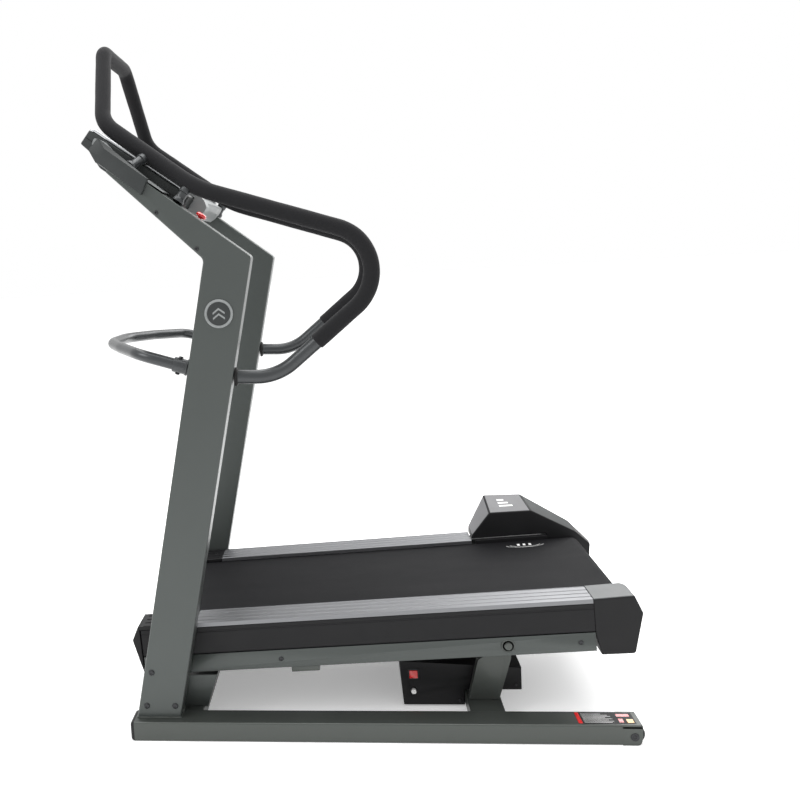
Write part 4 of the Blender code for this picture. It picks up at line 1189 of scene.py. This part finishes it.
# ---------------------------------------------------------------- console
@dataclass
class Console:
    """Wedge-shaped console between the arms: shell, display, keys, speakers, chin and stop button."""

    bench: Bench
    rim_y: float = 0.3375
    rim_radius: float = 0.0052
    ledge: Point2 = (0.3440, 0.4240)
    grille_rows: int = 9
    grille_columns: int = 16
    grille_pitch: Point2 = (0.0068, 0.0058)
    half: float = 0.3436
    face: float = 0.0278

    def build(self) -> None:
        """Build every piece of the console."""
        self.shell()
        self.bench.refine("console_bezel", "silver", Slot.SILVER, 0.0012)
        self.rims()
        self.display()
        self.keys()
        self.speakers()
        self.chin()
        for label, side in SIDES.items():
            self.cheek(label, side)
        self.stop_button()

    def plate(self, name: str, low: Sequence[float], high: Sequence[float], radius: float, finish: str,
              slot: Slot,
              bevel: float = 0.0008, stands_for: Sequence[str] = ()) -> None:
        """Build a flat plate with round corners on the console's face.

        Args:
            name: The piece's name.
            low: Lowest (s, y, h) corner.
            high: Highest (s, y, h) corner.
            radius: Radius of its corners, seen from above.
            finish: The name of its finish.
            slot: The record's slot.
            bevel: Width of its softened edges.
            stands_for: CAD nodes that it replaces.
        """
        solid = self.tile(Solid(), low, high, radius)
        self.bench.fit(name, solid, self.bench.console, finish, slot, "root", stands_for, bevel)

    @staticmethod
    def tile(solid: Solid, low: Sequence[float], high: Sequence[float], radius: float) -> Solid:
        """Add one plate with round corners to a solid."""
        line = rounded([(low[0], low[1]), (high[0], low[1]), (high[0], high[1]), (low[0], high[1])], radius)
        return solid.section([(s, y, low[2]) for s, y in line], Vector((0, 0, high[2] - low[2])))

    def shell(self) -> None:
        """Build the shell with soft edges and a parting line."""
        outline = [(-0.040, -0.018), (-0.010, -0.022), (0.040, -0.044), (0.250, -0.046), (0.290, -0.012),
                   (0.290, 0.0275), (-0.038, 0.0275)]
        line = rounded(outline, [0.005, 0.020, 0.030, 0.020, 0.012, 0.006, 0.006])
        solid = Solid().prism(line, -self.half, self.half).moved(self.bench.console)
        self.bench.place("console_pod", solid.mesh("console_pod"), "dark_plastic", Slot.DARK_PLASTIC,
                         stands_for=["console_shell"], bevel=0.004)
        seam = Solid().sweep(stations([Vector((s, self.half * side, h)) for s, h, side in (
            (-0.036, 0.004, -1), (0.286, 0.004, -1))], 0.05), 0.0009, 8)
        seam.sweep(stations([Vector((s, self.half, 0.004)) for s in (-0.036, 0.286)], 0.05), 0.0009, 8)
        self.bench.fit("console_seam", seam, self.bench.console, "black_plastic", Slot.BLACK_PLASTIC)

    def rims(self) -> None:
        """Build the bright rim along each side of the console, and a pale ledge over each arm."""
        for label, side in SIDES.items():
            y = side * self.rim_y
            ends = filleted([(-0.032, y, 0.020), (-0.032, y, 0.0325), (0.2600, y, 0.0325),
                             (0.2600, y, 0.020)],
                            [0.008, 0.008])
            rim = Solid().sweep(stations(ends, 0.03), self.rim_radius, 20)
            self.bench.fit(f"console_rim_{label}", rim, self.bench.console, "bright_trim", Slot.SILVER)
            ledge = rounded([(0.022, 0.0230), (0.070, 0.0100), (0.240, 0.0022), (0.240, 0.0006),
                             (0.012, 0.0006), (0.008, 0.0180)], [0.006, 0.020, 0.0006, 0, 0, 0.006])
            solid = Solid().prism(ledge, side * self.ledge[0], side * self.ledge[1])
            self.bench.fit(f"arm_ledge_{label}", solid, self.bench.console, "light_plastic", Slot.SILVER,
                           bevel=0.0012)
            self.grille(label, side)

    def grille(self, label: str, side: int) -> None:
        """Build the staggered holes in one arm's ledge, which falls away towards the user."""
        holes, fall = Solid(), 0.0078 / 0.170
        dimple = [(-0.0006, 0.0022), (0.0005, 0.0022), (0.0007, 0.0017)]
        for row in range(self.grille_rows):
            for column in range(self.grille_columns):
                s = 0.078 + column * self.grille_pitch[0]
                across = side * (0.352 + (row + 0.5 * (column % 2)) * self.grille_pitch[1])
                holes.turned(dimple, (s, across, 0.0100 - (s - 0.070) * fall), (0, 0, 1), 8)
        self.bench.fit(f"arm_grille_{label}", holes, self.bench.console, "rubber", Slot.BLACK_PLASTIC)

    def display(self) -> None:
        """Build the glass, a bar profile and six read-out windows."""
        h = self.face
        self.plate("display_glass", (0.0005, -0.1495, h), (0.1045, 0.1495, h + 0.0030), 0.004, "glass",
                   Slot.GLASS,
                   stands_for=["console_screen"])
        bars = Solid()
        heights = (1, 2, 3, 5, 4, 6, 7, 5, 8, 6, 4, 3, 2, 1)
        for i, count in enumerate(heights):
            y = (i - len(heights) / 2 + 0.5) * 0.0078
            for k in range(count):
                s = 0.064 - k * 0.0062
                bars.block((s - 0.0022, y - 0.0030, h + 0.0029), (s + 0.0022, y + 0.0030, h + 0.0033))
        self.bench.fit("display_profile", bars, self.bench.console, "display_glow", Slot.RED)
        windows, strokes = Solid(), Solid()
        for side in SIDES.values():
            for row in range(3):
                s, y = 0.018 + row * 0.031, side * 0.106
                self.tile(windows, (s - 0.011, y - 0.033, h + 0.0028), (s + 0.011, y + 0.033, h + 0.0034),
                          0.002)
                for digit in range(4):
                    middle = y + (digit - 1.5) * 0.0135
                    for ds, dy, long_s, long_y in ((-0.0068, 0, 0.0007, 0.0032), (0, 0, 0.0007, 0.0032),
                                                   (0.0068, 0, 0.0007, 0.0032),
                                                   (-0.0034, 0.004, 0.0026, 0.0007),
                                                   (0.0034, -0.004, 0.0026, 0.0007)):
                        strokes.block((s + ds - long_s, middle + dy - long_y, h + 0.0033),
                                      (s + ds + long_s, middle + dy + long_y, h + 0.0037))
        self.bench.fit("display_windows", windows, self.bench.console, "glass", Slot.GLASS, bevel=0.0002)
        self.bench.fit("display_strokes", strokes, self.bench.console, "display_glow", Slot.RED)

    def keys(self) -> None:
        """Build the key panel, its rows of keys and the start and stop keys."""
        h = self.face
        self.plate("key_panel", (0.1255, -0.2195, h), (0.2345, 0.2195, h + 0.0035), 0.006, "dark_plastic",
                   Slot.DARK_PLASTIC, stands_for=["console_keypad"])
        caps = Solid()
        for side in SIDES.values():
            for row in range(3):
                for column in range(4):
                    s, y = 0.146 + row * 0.034, side * (0.066 + column * 0.040)
                    self.tile(caps, (s - 0.0105, y - 0.0155, h + 0.0030),
                              (s + 0.0105, y + 0.0155, h + 0.0062), 0.0045)
        self.bench.fit("key_caps", caps, self.bench.console, "key_plastic", Slot.SILVER, bevel=0.0010)
        for name, s, finish, slot in (("start_key", 0.156, "start_green", Slot.WHITE),
                                      ("stop_key", 0.205, "red", Slot.RED)):
            self.plate(name, (s - 0.015, -0.030, h + 0.0030), (s + 0.015, 0.030, h + 0.0066), 0.012, finish,
                       slot, 0.0012)

    def speakers(self) -> None:
        """Build the two perforated grilles at the console's upper end."""
        h = self.face + 0.006
        for label, side in SIDES.items():
            y = side * 0.245
            self.plate(f"speaker_panel_{label}", (0.002, y - 0.078, self.face + 0.0050),
                       (0.112, y + 0.078, h + 0.0012),
                       0.014, "black_plastic", Slot.BLACK_PLASTIC)
            holes = Solid()
            for row in range(12):
                for column in range(18):
                    s = 0.012 + row * 0.0082
                    across = y + (column - 8.5 + 0.5 * (row % 2) - 0.25) * 0.0082
                    holes.turned([(0.0, 0.0026), (0.0013, 0.0026), (0.0017, 0.0021), (0.0010, 0.0015)],
                                 (s, across, h), (0, 0, 1), 10)
            name = f"speaker_grille_{label}"
            self.bench.fit(name, holes, self.bench.console, "rubber", Slot.BLACK_PLASTIC)

    def chin(self) -> None:
        """Build the pale wedge under the console, full beside the stop button and drawn back beyond it."""
        outline = [(0.2640, 0.0280), (0.2905, 0.0280), (0.2905, -0.0300), (0.322, -0.012), (0.334, 0.008),
                   (0.333, 0.024), (0.318, 0.036), (0.2995, 0.040), (0.2640, 0.034)]
        line = rounded(outline, [0, 0, 0.002, 0.012, 0.012, 0.012, 0.016, 0.020, 0.002])
        flat = [(s if s < 0.2906 else 0.2905 + (s - 0.2905) * 0.25, min(h, 0.030)) for s, h in line]
        solid = Solid()
        solid.skin([solid.ring((s, y, h) for s, h in shape)
                    for shape, y in ((line, -0.262), (line, -0.205), (flat, -0.150), (flat, 0.262))])
        solid.moved(self.bench.console)
        self.bench.place("console_wedge", solid.mesh("console_wedge"), "light_plastic", Slot.LIGHT_PLASTIC,
                         stands_for=["console_chin"], bevel=0.003)

    def cheek(self, label: str, side: int) -> None:
        """Build the cover over the arm's tip, its front end drawn in."""
        seated = [(0.018, 0.024), (0.188, 0.0085), (0.1965, -0.0365), (0.046, -0.0325), (0.013, -0.0155)]
        raised = [(0.046, 0.0105), (0.187, 0.0075), (0.195, -0.0355), (0.060, -0.0295), (0.052, -0.012)]
        radii = [0.003, 0.003, 0.003, 0.006, 0.006]
        solid = Solid()
        rings = [solid.ring((s, side * y, h) for s, h in rounded(outline, radii))
                 for outline, y in ((seated, UPRIGHT_OUTER_Y + 0.0003), (seated, UPRIGHT_OUTER_Y + 0.0040),
                                    (raised, UPRIGHT_OUTER_Y + 0.0130))]
        name = f"arm_cover_{label}"
        self.bench.fit(name, solid.skin(rings), self.bench.console, "dark_plastic", Slot.DARK_PLASTIC,
                       stands_for=[f"console_cheek_{label}"], bevel=0.0010)

    def stop_button(self) -> None:
        """Build the collar and the red mushroom button."""
        self.bench.refine("estop_base", "dark_plastic", Slot.DARK_PLASTIC, 0.0010)
        seat = (0.340, -0.311, -0.024)
        knob = [(0.001, 0.0070), (0.0180, 0.0072), (0.0183, 0.0128), (0.0190, 0.0141), (0.0205, 0.0151),
                (0.0225, 0.0155),
                (0.0250, 0.0150), (0.0272, 0.0138), (0.0290, 0.0118), (0.0301, 0.0088), (0.0305, 0.0050),
                (0.0303, 0.0020)]
        solid = Solid().turned(knob, seat, (0, 0, 1), 56).moved(self.bench.console)
        self.bench.place("stop_knob", solid.mesh("stop_knob"), "red", Slot.RED, "estop_button",
                         ["estop_button"])


# ---------------------------------------------------------------- running deck
@dataclass
class RunningDeck:
    """The tilting deck: side frames, skirts, ribbed foot rails, belt, nose, caps and drive."""

    bench: Bench
    ribs: int = 4
    roller_radius: float = 0.0255
    belt_thickness: float = 0.003

    def build(self) -> None:
        """Build every piece of the deck."""
        for label, side in SIDES.items():
            self.bench.refine(f"deck_side_{label}", "frame_paint", Slot.FRAME_PAINT, 0.0012)
            self.skirt(label, side)
            self.foot_rail(label, side, DECK_REAR if side < 0 else -0.0115)
        self.belt()
        self.belt_mark()
        self.nose()
        self.near_cap()
        self.hood()
        self.inner_works()
        self.pivots()

    def put(self, name: str, solid: Solid, finish: str, slot: Slot, stands_for: Sequence[str] = (),
            bevel: float = 0.0, body: str = "deck") -> None:
        """Place a piece that was made in the deck's own frame."""
        self.bench.fit(name, solid, self.bench.deck, finish, slot, body, stands_for, bevel)

    def skirt(self, label: str, side: int) -> None:
        """Build the side skirt with a step along its upper edge and a turned-in lower lip."""
        top, low, out = PIVOT_DEPTH - 0.0125, PIVOT_DEPTH - SKIRT_DROP + 0.0003, DECK_HALF
        profile = [(0.3328, low), (out - 0.004, low), (out - 0.001, low + 0.003), (out, low + 0.008),
                   (out, top - 0.016),
                   (out - 0.0012, top - 0.0145), (out - 0.0012, top - 0.012), (out, top - 0.0105),
                   (out, top - 0.001),
                   (out - 0.001, top), (0.3328, top)]
        start = DECK_FRONT + 0.003
        solid = Solid().section([(start, side * y, w) for y, w in profile],
                                Vector((DECK_REAR - start, 0, 0)))
        self.put(f"deck_skirt_{label}", solid, "skirt_plastic", Slot.BLACK_PLASTIC, [f"side_skirt_{label}"],
                 0.0006)

    def foot_rail(self, label: str, side: int, u_end: float) -> None:
        """Build one ribbed foot rail."""
        pitch = (DECK_HALF - BELT_ZONE) / self.ribs
        outline = [(side * BELT_ZONE, -0.012), (side * DECK_HALF, -0.012)]
        for i in range(self.ribs):
            edge = DECK_HALF - i * pitch
            outline += [(side * edge, 0.0), (side * (edge - pitch * 0.72), 0.0),
                        (side * (edge - pitch * 0.80), -0.0022), (side * (edge - pitch * 0.92), -0.0022)]
        outline.append((side * BELT_ZONE, 0.0))
        solid = Solid().section([(FOOT_RAIL_START, y, v + PIVOT_DEPTH) for y, v in outline],
                                Vector((u_end - FOOT_RAIL_START, 0, 0)))
        self.put(f"ribbed_rail_{label}", solid, "silver", Slot.SILVER, [f"foot_rail_{label}"], 0.0006)

    def belt(self) -> None:
        """Build the running belt as one endless band."""
        def loop(radius: float) -> list[Point2]:
            """Return the band's line round both rollers."""
            points = []
            for centre, first in ((REAR_ROLLER_U, -math.pi / 2), (FRONT_ROLLER_U, math.pi / 2)):
                for i in range(25):
                    angle = first + math.pi * i / 24
                    points.append((centre + radius * math.cos(angle),
                                   -ROLLER_DROP + PIVOT_DEPTH + radius * math.sin(angle)))
            return points

        solid = Solid().band(loop(self.roller_radius + self.belt_thickness),
                             loop(self.roller_radius + 0.0003),
                             -BELT_HALF, BELT_HALF)
        self.put("tread_belt", solid, "belt", Slot.BELT, ["running_belt"])

    def nose(self) -> None:
        """Build the corner wedges, the low guard between them and the rails' ribbed front plates."""
        guard = deck_points([(DECK_FRONT, -0.084), (DECK_FRONT - 0.0140, -0.084),
                             (DECK_FRONT - 0.008, -0.112),
                             (DECK_FRONT, -FRAME_DROP)])
        self.put("nose_guard",
                 Solid().prism(rounded(guard, [0, 0.004, 0.010, 0]), -BELT_ZONE - 0.004, BELT_ZONE + 0.004),
                 "black_plastic", Slot.BLACK_PLASTIC, ["nose_cover"], 0.001)
        wedge = deck_points([(DECK_FRONT, 0.0), (DECK_FRONT - 0.004, 0.0), (DECK_FRONT - 0.0245, -0.040),
                             (DECK_FRONT - 0.008, -0.112), (DECK_FRONT, -FRAME_DROP)])
        end = FOOT_RAIL_START - 0.0005
        for label, side in SIDES.items():
            solid = Solid().prism(rounded(wedge, [0, 0.004, 0.010, 0.016, 0]), side * (BELT_ZONE + 0.0005),
                                  side * DECK_HALF)
            self.put(f"nose_wedge_{label}", solid, "black_plastic", Slot.BLACK_PLASTIC, ["nose_cover"],
                     0.0025)
            y0, y1 = sorted((side * (BELT_ZONE + 0.0005), side * (DECK_HALF - 0.0005)))
            plate = Solid().block((DECK_FRONT - 0.003, y0, PIVOT_DEPTH - 0.0120),
                                  (end, y1, PIVOT_DEPTH - 0.0010))
            self.put(f"nose_plate_{label}", plate, "black_plastic", Slot.BLACK_PLASTIC, ["nose_cover"],
                     0.002)
            ridges = Solid()
            for i in range(self.ribs):
                edge = BELT_ZONE + 0.011 + i * 0.0265
                y0, y1 = sorted((side * edge, side * (edge + 0.010)))
                ridges.block((DECK_FRONT + 0.012, y0, PIVOT_DEPTH - 0.0012),
                             (end - 0.010, y1, PIVOT_DEPTH + 0.0004))
            self.put(f"nose_ridges_{label}", ridges, "skirt_plastic", Slot.BLACK_PLASTIC, (), 0.0006)
            seat = Vector((end - 0.026, side * 0.3005, PIVOT_DEPTH - 0.0010))
            Fasteners(self.bench).add(f"nose_screws_{label}", [(seat, Vector((0, 0, 1))),
                                                              (seat + Vector((-0.105, 0, 0)),
                                                               Vector((0, 0, 1)))],
                                      Head.CROSS, 0.0045, "deck", matrix=self.bench.deck)

    def near_cap(self) -> None:
        """Build the low cap over the near rear corner, with a pale top plate that is painted reflection, and
        its screws.
        """
        u0 = DECK_REAR + 0.0003
        outline = deck_points([(u0, -0.0012), (u0 + 0.106, 0.0015), (u0 + 0.125, -0.047),
                               (u0 + 0.0985, -0.157),
                               (u0 + 0.012, -0.156), (u0, -0.095)])
        line = rounded(outline, [0, 0.004, 0.010, 0.010, 0.004, 0.010])
        solid = Solid().prism(line, -0.262, -DECK_HALF)
        self.put("rear_corner_cap", solid, "black_plastic", Slot.BLACK_PLASTIC, ["rear_cap_near"], 0.0030)
        # Painted reflection: a thin pale plate over the cap's top stands in for the light that the top
        # reflects.
        plate = Solid()
        edge = rounded([(u0 + 0.001, -BELT_ZONE), (u0 + 0.094, -BELT_ZONE), (u0 + 0.103, -0.262),
                        (u0 + 0.103, -DECK_HALF + 0.002), (u0 + 0.001, -DECK_HALF + 0.002)],
                       [0, 0.006, 0.004, 0.003, 0])
        lift = math.atan2(0.0027, 0.106)
        plate.section([(u, y, PIVOT_DEPTH - 0.0016 + (u - u0) * math.tan(lift)) for u, y in edge],
                      Vector((0, 0, 0.0024)))
        self.put("rear_corner_reflection_plate", plate, "key_plastic", Slot.BLACK_PLASTIC, (), 0.0008)
        Fasteners(self.bench).add("rear_corner_screws", [
            (Vector((u0 + 0.112, -0.300, PIVOT_DEPTH - 0.100)), Vector((0.97, 0, -0.235)))], Head.CROSS,
                                  0.0045, "deck",
                                  matrix=self.bench.deck)

    def hood(self) -> None:
        """Build the tall hood over the far rear corner, its pale top panel and plain raised marks."""
        front, foot = -0.0110, [(DECK_REAR + 0.012, -0.156), (DECK_REAR + 0.0003, -0.095),
                                (DECK_REAR + 0.0003, 0.0005)]
        inner = [(front, 0.0005), (front + 0.004, 0.012), (0.055, 0.083), (0.188, 0.081), (0.326, -0.002),
                 (0.366, -0.044), (0.352, -0.156), *foot]
        outer = [(front, 0.0005), (front + 0.002, 0.020), (0.050, 0.125), (0.168, 0.119), (0.318, 0.014),
                 (0.382, -0.062), (0.364, -0.156), *foot]
        radii = [0, 0.004, 0.006, 0.010, 0.012, 0.008, 0.010, 0.004, 0.004, 0]
        y0, y1 = BELT_ZONE + 0.018, DECK_HALF
        solid = Solid()
        solid.skin([solid.ring((u, y, w) for u, w in rounded(deck_points(outline), radii))
                    for outline, y in ((inner, y0), (outer, y1))])
        self.put("drive_hood", solid, "black_plastic", Slot.BLACK_PLASTIC, ["rear_hood_far"], 0.0030)

        def on_hood(place: float, share: float, lift: float, first: int = 2) -> Vector:
            """Return a point on one of the hood's sloping faces, at shares of its length and its width."""
            low = Vector(inner[first]).lerp(Vector(inner[first + 1]), place)
            high = Vector(outer[first]).lerp(Vector(outer[first + 1]), place)
            spot = low.lerp(high, share)
            return Vector((spot.x, y0 + (y1 - y0) * share, spot.y + PIVOT_DEPTH + lift))

        for name, first in (("front", 1), ("top", 2), ("rear", 3)):
            panel = Solid()
            corners = [(0.03, 0.03), (0.97, 0.03), (0.97, 0.96), (0.03, 0.96)]
            side_step = Vector((0.0006, 0, 0)) if name == "front" else Vector()
            rings = [panel.ring(on_hood(place, share, lift, first) - side_step for place, share in corners)
                     for lift in (-0.0010, 0.0007)]
            finish = "dark_plastic" if name == "rear" else "hood_grey"
            self.put(f"hood_panel_{name}", panel.skin(rings), finish, Slot.BLACK_PLASTIC, (), 0.0004)
        marks = Solid()
        for i, reach in enumerate((0.34, 0.26, 0.18)):
            share = 0.30 + i * 0.16
            rings = [marks.ring(on_hood(place, part, lift) for place, part in (
                (0.30, share), (0.30 + reach, share), (0.30 + reach, share + 0.07), (0.30, share + 0.07)))
                for lift in (0.0004, 0.0018)]
            marks.skin(rings)
        self.put("hood_marks", marks, "white", Slot.WHITE, (), 0.0003)
        strip = Solid().block((0.002, BELT_ZONE + 0.001, PIVOT_DEPTH - 0.030),
                              (DECK_REAR, y0 + 0.002, PIVOT_DEPTH - 0.0015))
        self.put("hood_sill", strip, "black_plastic", Slot.BLACK_PLASTIC, (), 0.001)
        Fasteners(self.bench).add("hood_screws", [
            (Vector((0.060, y1, PIVOT_DEPTH + 0.030)), Vector((0, 1, 0))),
            (Vector((0.310, y1, PIVOT_DEPTH - 0.110)), Vector((0, 1, 0)))], Head.CROSS, 0.0050, "deck",
                                  matrix=self.bench.deck)

    def belt_mark(self) -> None:
        """Print two pale arcs and three bars on the belt beside the hood."""
        solid, lift = Solid(), PIVOT_DEPTH - ROLLER_DROP + self.roller_radius + self.belt_thickness
        centre, squash, line_width = Vector((0.150, 0.205)), 0.50, 0.0022
        start, sweep = math.pi + math.radians(18), math.radians(144)
        for radius, turns in ((0.062, 26), (0.050, 22)):
            inner, outer = [], []
            for i in range(turns + 1):
                angle = start + sweep * i / turns
                direction = Vector((math.cos(angle), squash * math.sin(angle)))
                inner.append(centre + direction * (radius - line_width))
                outer.append(centre + direction * radius)
            line = outer + inner[::-1]
            solid.section([(point.x, point.y, lift - 0.0001) for point in line], Vector((0, 0, 0.0003)))
        for offset in (-0.018, 0.0, 0.018):
            solid.block((centre.x + offset - 0.006, centre.y - 0.012, lift - 0.0001),
                        (centre.x + offset + 0.002, centre.y + 0.006, lift + 0.0002))
        self.put("belt_print", solid, "white", Slot.WHITE)

    def inner_works(self) -> None:
        """Dress the board, rollers, motor and lift bar, and add the motor's fins, the tail member and lift
        ears.
        """
        self.bench.refine("deck_board", "board", Slot.BOARD, 0.0015)
        for node in ("deck_cross_front", "deck_cross_rear", "lift_bar"):
            self.bench.refine(node, "rail_paint", Slot.RAIL_PAINT, 0.0012)
        self.bench.refine("drive_motor", "black_plastic", Slot.BLACK_PLASTIC, 0.0025)
        self.bench.refine("drive_belt", "rubber", Slot.RUBBER, 0.0006)
        for node in ("front_roller", "rear_roller", "motor_pulley"):
            self.bench.refine(node, "steel", Slot.STEEL)
        fins = Solid()
        for i in range(7):
            fins.turned([(0.0, 0.0335), (0.0, 0.0365), (0.003, 0.0365), (0.003, 0.0335)],
                        (-0.880, 0.052 + i * 0.026, PIVOT_DEPTH - 0.108), (0, 1, 0), 40)
        self.put("motor_fins", fins, "black_plastic", Slot.BLACK_PLASTIC)
        tail = Solid().block((0.196, -0.2985, PIVOT_DEPTH - 0.140), (0.2285, 0.2985, PIVOT_DEPTH - 0.104))
        self.put("tail_member", tail, "frame_paint", Slot.FRAME_PAINT, (), 0.002)
        ears, pin = Solid(), Vector((-0.5715, 0.130, PIVOT_DEPTH - 0.187))
        outline = deck_points([(-0.5885, -0.158), (-0.5545, -0.158), (-0.5590, -0.1985),
                               (-0.5840, -0.1985)])
        for y in (0.1095, 0.1455):
            ears.prism(rounded(outline, [0, 0, 0.010, 0.010]), y, y + 0.005)
        ears.turned([(-0.026, 0.0040), (-0.0225, 0.0040), (-0.0225, 0.0075), (-0.0205, 0.0075)], pin,
                    (0, 1, 0), 20)
        ears.turned([(0.0225, 0.0075), (0.0250, 0.0075)], pin, (0, 1, 0), 20)
        self.put("lift_ears", ears, "rail_paint", Slot.RAIL_PAINT, (), 0.0008)

    def pivots(self) -> None:
        """Dress the pivot pins and add the washers and frame bolts on the deck's sides."""
        for label, side in SIDES.items():
            self.bench.refine(f"pivot_pin_{label}", "rail_paint", Slot.RAIL_PAINT)
            washer = Solid().turned([(0.0, 0.0175), (0.0022, 0.0185), (0.0030, 0.0175), (0.0030, 0.0165)],
                                    (0, side * DECK_HALF, 0), (0, side, 0), 40)
            self.put(f"pivot_washer_{label}", washer, "rail_paint", Slot.RAIL_PAINT)
            spots = [(Vector((u, side * DECK_HALF, PIVOT_DEPTH - 0.118)), Vector((0, side, 0)))
                     for u in (-0.965, -0.620, 0.190)]
            Fasteners(self.bench).add(f"frame_bolts_{label}", spots, Head.SOCKET, 0.0068, "deck",
                                      matrix=self.bench.deck)


# ---------------------------------------------------------------- lift and mains box
@dataclass
class LiftAndPower:
    """The lift actuator and the low box that holds the switches and the inlet."""

    bench: Bench
    face_y: float = -0.240
    rear: float = 1.083
    switch: Point2 = (0.782, 0.099)

    def build(self) -> None:
        """Build the actuator's and the box's pieces."""
        self.bench.refine("lift_body", "black_plastic", Slot.BLACK_PLASTIC, 0.0010)
        self.bench.refine("lift_rod", "steel", Slot.STEEL)
        self.bench.refine("control_box", "black_plastic", Slot.BLACK_PLASTIC, 0.0022)
        self.bench.refine("power_inlet", "dark_plastic", Slot.BLACK_PLASTIC, 0.0006)
        self.bench.refine("power_switch", "red", Slot.RED, 0.0008)
        self.bench.refine("reset_button", "white", Slot.WHITE, 0.0006)
        self.vents()

    def vents(self) -> None:
        """Build the louvres on the lid, the inlet's pins, the switch frame and the lid screws."""
        solid = Solid()
        for i in range(9):
            x = 0.930 + i * 0.014
            z = 0.138 - (x - 0.744) / 0.339 * 0.020
            solid.block((x, -0.180, z - 0.001), (x + 0.006, -0.020, z + 0.0016))
        self.bench.fit("box_louvres", solid, self.bench.floor, "skirt_plastic", Slot.BLACK_PLASTIC,
                       bevel=0.0008)
        pins = Solid()
        for y, z in ((-0.109, 0.080), (-0.102, 0.088), (-0.095, 0.080)):
            pins.block((self.rear - 0.004, y - 0.001, z - 0.002), (self.rear + 0.001, y + 0.001, z + 0.002))
        self.bench.fit("inlet_pins", pins, self.bench.floor, "steel", Slot.STEEL, bevel=0.0003)
        frame, (x, z) = Solid(), self.switch
        for low, high in (((x - 0.0155, z - 0.0150), (x + 0.0155, z - 0.0120)),
                          ((x - 0.0155, z + 0.0120), (x + 0.0155, z + 0.0150)),
                          ((x - 0.0155, z - 0.0150), (x - 0.0130, z + 0.0150)),
                          ((x + 0.0130, z - 0.0150), (x + 0.0155, z + 0.0150))):
            frame.block((low[0], self.face_y - 0.0015, low[1]), (high[0], self.face_y + 0.001, high[1]))
        self.bench.fit("switch_frame", frame, self.bench.floor, "dark_plastic", Slot.DARK_PLASTIC,
                       bevel=0.0004)
        out = Vector((0, -1, 0))
        Fasteners(self.bench).add("box_screws", [(Vector((x, self.face_y, z)), out) for x, z in (
            (0.910, 0.020), (1.066, 0.066))], Head.CROSS, 0.0040, matrix=self.bench.floor)


# ---------------------------------------------------------------- stage
@dataclass
class Studio:
    """Pale floor, soft lights and the camera."""

    bench: Bench
    eye: tuple[float, float, float] = (0.6468, -2.9051, 1.3012)
    yaw: float = 0.1465
    pitch: float = -0.1149
    roll: float = -0.0645
    lens: float = 42.74
    shift: Point2 = (0.2343, -0.030)
    sensor: float = 36.0
    floor_radius: float = 60.0
    floor_glow: float = 0.30

    def build(self) -> None:
        """Build the floor, the sky, the lamps and the camera."""
        self.floor()
        self.sky()
        self.lamp("top", (0.0, 0.6, 4.4), (0, 0, 0.0), 4.5, 210.0)
        self.lamp("key", (-3.0, -2.2, 3.0), (0, 0, 0.8), 1.8, 50.0)
        self.lamp("rim", (1.6, 3.2, 2.8), (0, 0, 0.9), 2.2, 60.0)
        self.camera()

    def floor(self) -> None:
        """Build the floor with a matt, faintly mottled surface."""
        solid = Solid().turned([(-0.02, self.floor_radius), (0.0, self.floor_radius)], (0, 0, 0), (0, 0, 1),
                               96)
        mesh = solid.mesh("studio_floor")
        kit = NodeKit("studio_floor")
        kit.hold(roughness=0.90, specular_ior_level=0.1)
        kit.hold(emission_color=(1.0, 1.0, 1.0), emission_strength=self.floor_glow)
        kit.feed("Base Color", kit.tint(kit.noise(1.5, 3.0), (0.90, 0.90, 0.90), (0.93, 0.93, 0.93)))
        mesh.materials.append(kit.material)
        piece = bpy.data.objects.new("studio_floor", mesh)
        bpy.context.scene.collection.objects.link(piece)
        piece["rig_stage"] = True

    @staticmethod
    def sky() -> None:
        """Light the scene evenly from all round."""
        scene = bpy.context.scene
        scene.world = scene.world or bpy.data.worlds.new("studio")
        scene.world.use_nodes = True
        background = scene.world.node_tree.nodes["Background"]
        background.inputs["Color"].default_value = (1.0, 1.0, 1.0, 1.0)
        background.inputs["Strength"].default_value = 1.0
        scene.view_settings.view_transform = "Standard"

    @staticmethod
    def lamp(name: str, place: Sequence[float], target: Sequence[float], size: float, power: float) -> None:
        """Add one square soft light.

        Args:
            name: The light's name.
            place: Where it hangs.
            target: What it points at.
            size: Its width.
            power: Its strength in watts.
        """
        data = bpy.data.lights.new(name, "AREA")
        data.size = size
        data.energy = power
        lamp = bpy.data.objects.new(name, data)
        lamp.location = place
        lamp.rotation_euler = (Vector(target) - Vector(place)).to_track_quat("-Z", "Y").to_euler()
        bpy.context.scene.collection.objects.link(lamp)

    def camera(self) -> None:
        """Add the camera."""
        data = bpy.data.cameras.new("camera")
        data.sensor_width = self.sensor
        data.lens = self.lens
        data.shift_x, data.shift_y = self.shift
        data.clip_end = 100.0
        camera = bpy.data.objects.new("camera", data)
        upright = Matrix.Rotation(math.pi / 2, 4, "X")
        camera.matrix_world = (self.bench.floor @ Matrix.Translation(self.eye)
                               @ Matrix.Rotation(self.yaw, 4, "Z") @ Matrix.Rotation(self.pitch, 4, "X")
                               @ Matrix.Rotation(-self.roll, 4, "Y") @ upright)
        bpy.context.scene.collection.objects.link(camera)
        bpy.context.scene.camera = camera


def corners_of(bounds: Sequence[Sequence[float]]) -> list[list[float]]:
    """Return a box as plain lists of numbers."""
    return [[float(value) for value in corner] for corner in bounds]


def main(frame: dict, cad_box: list[list[float]]) -> None:
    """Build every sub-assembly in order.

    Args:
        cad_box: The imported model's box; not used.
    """
    bench = Bench(frame)
    for assembly in (Base(bench), Uprights(bench), Handrail(bench), Console(bench), RunningDeck(bench),
                     LiftAndPower(bench), Studio(bench)):
        assembly.build()
        LOG.info("%s is complete", type(assembly).__name__)


if __name__ == "__main__":
    logging.basicConfig(level=logging.INFO)
    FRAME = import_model()
    main(FRAME, corners_of(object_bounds()))
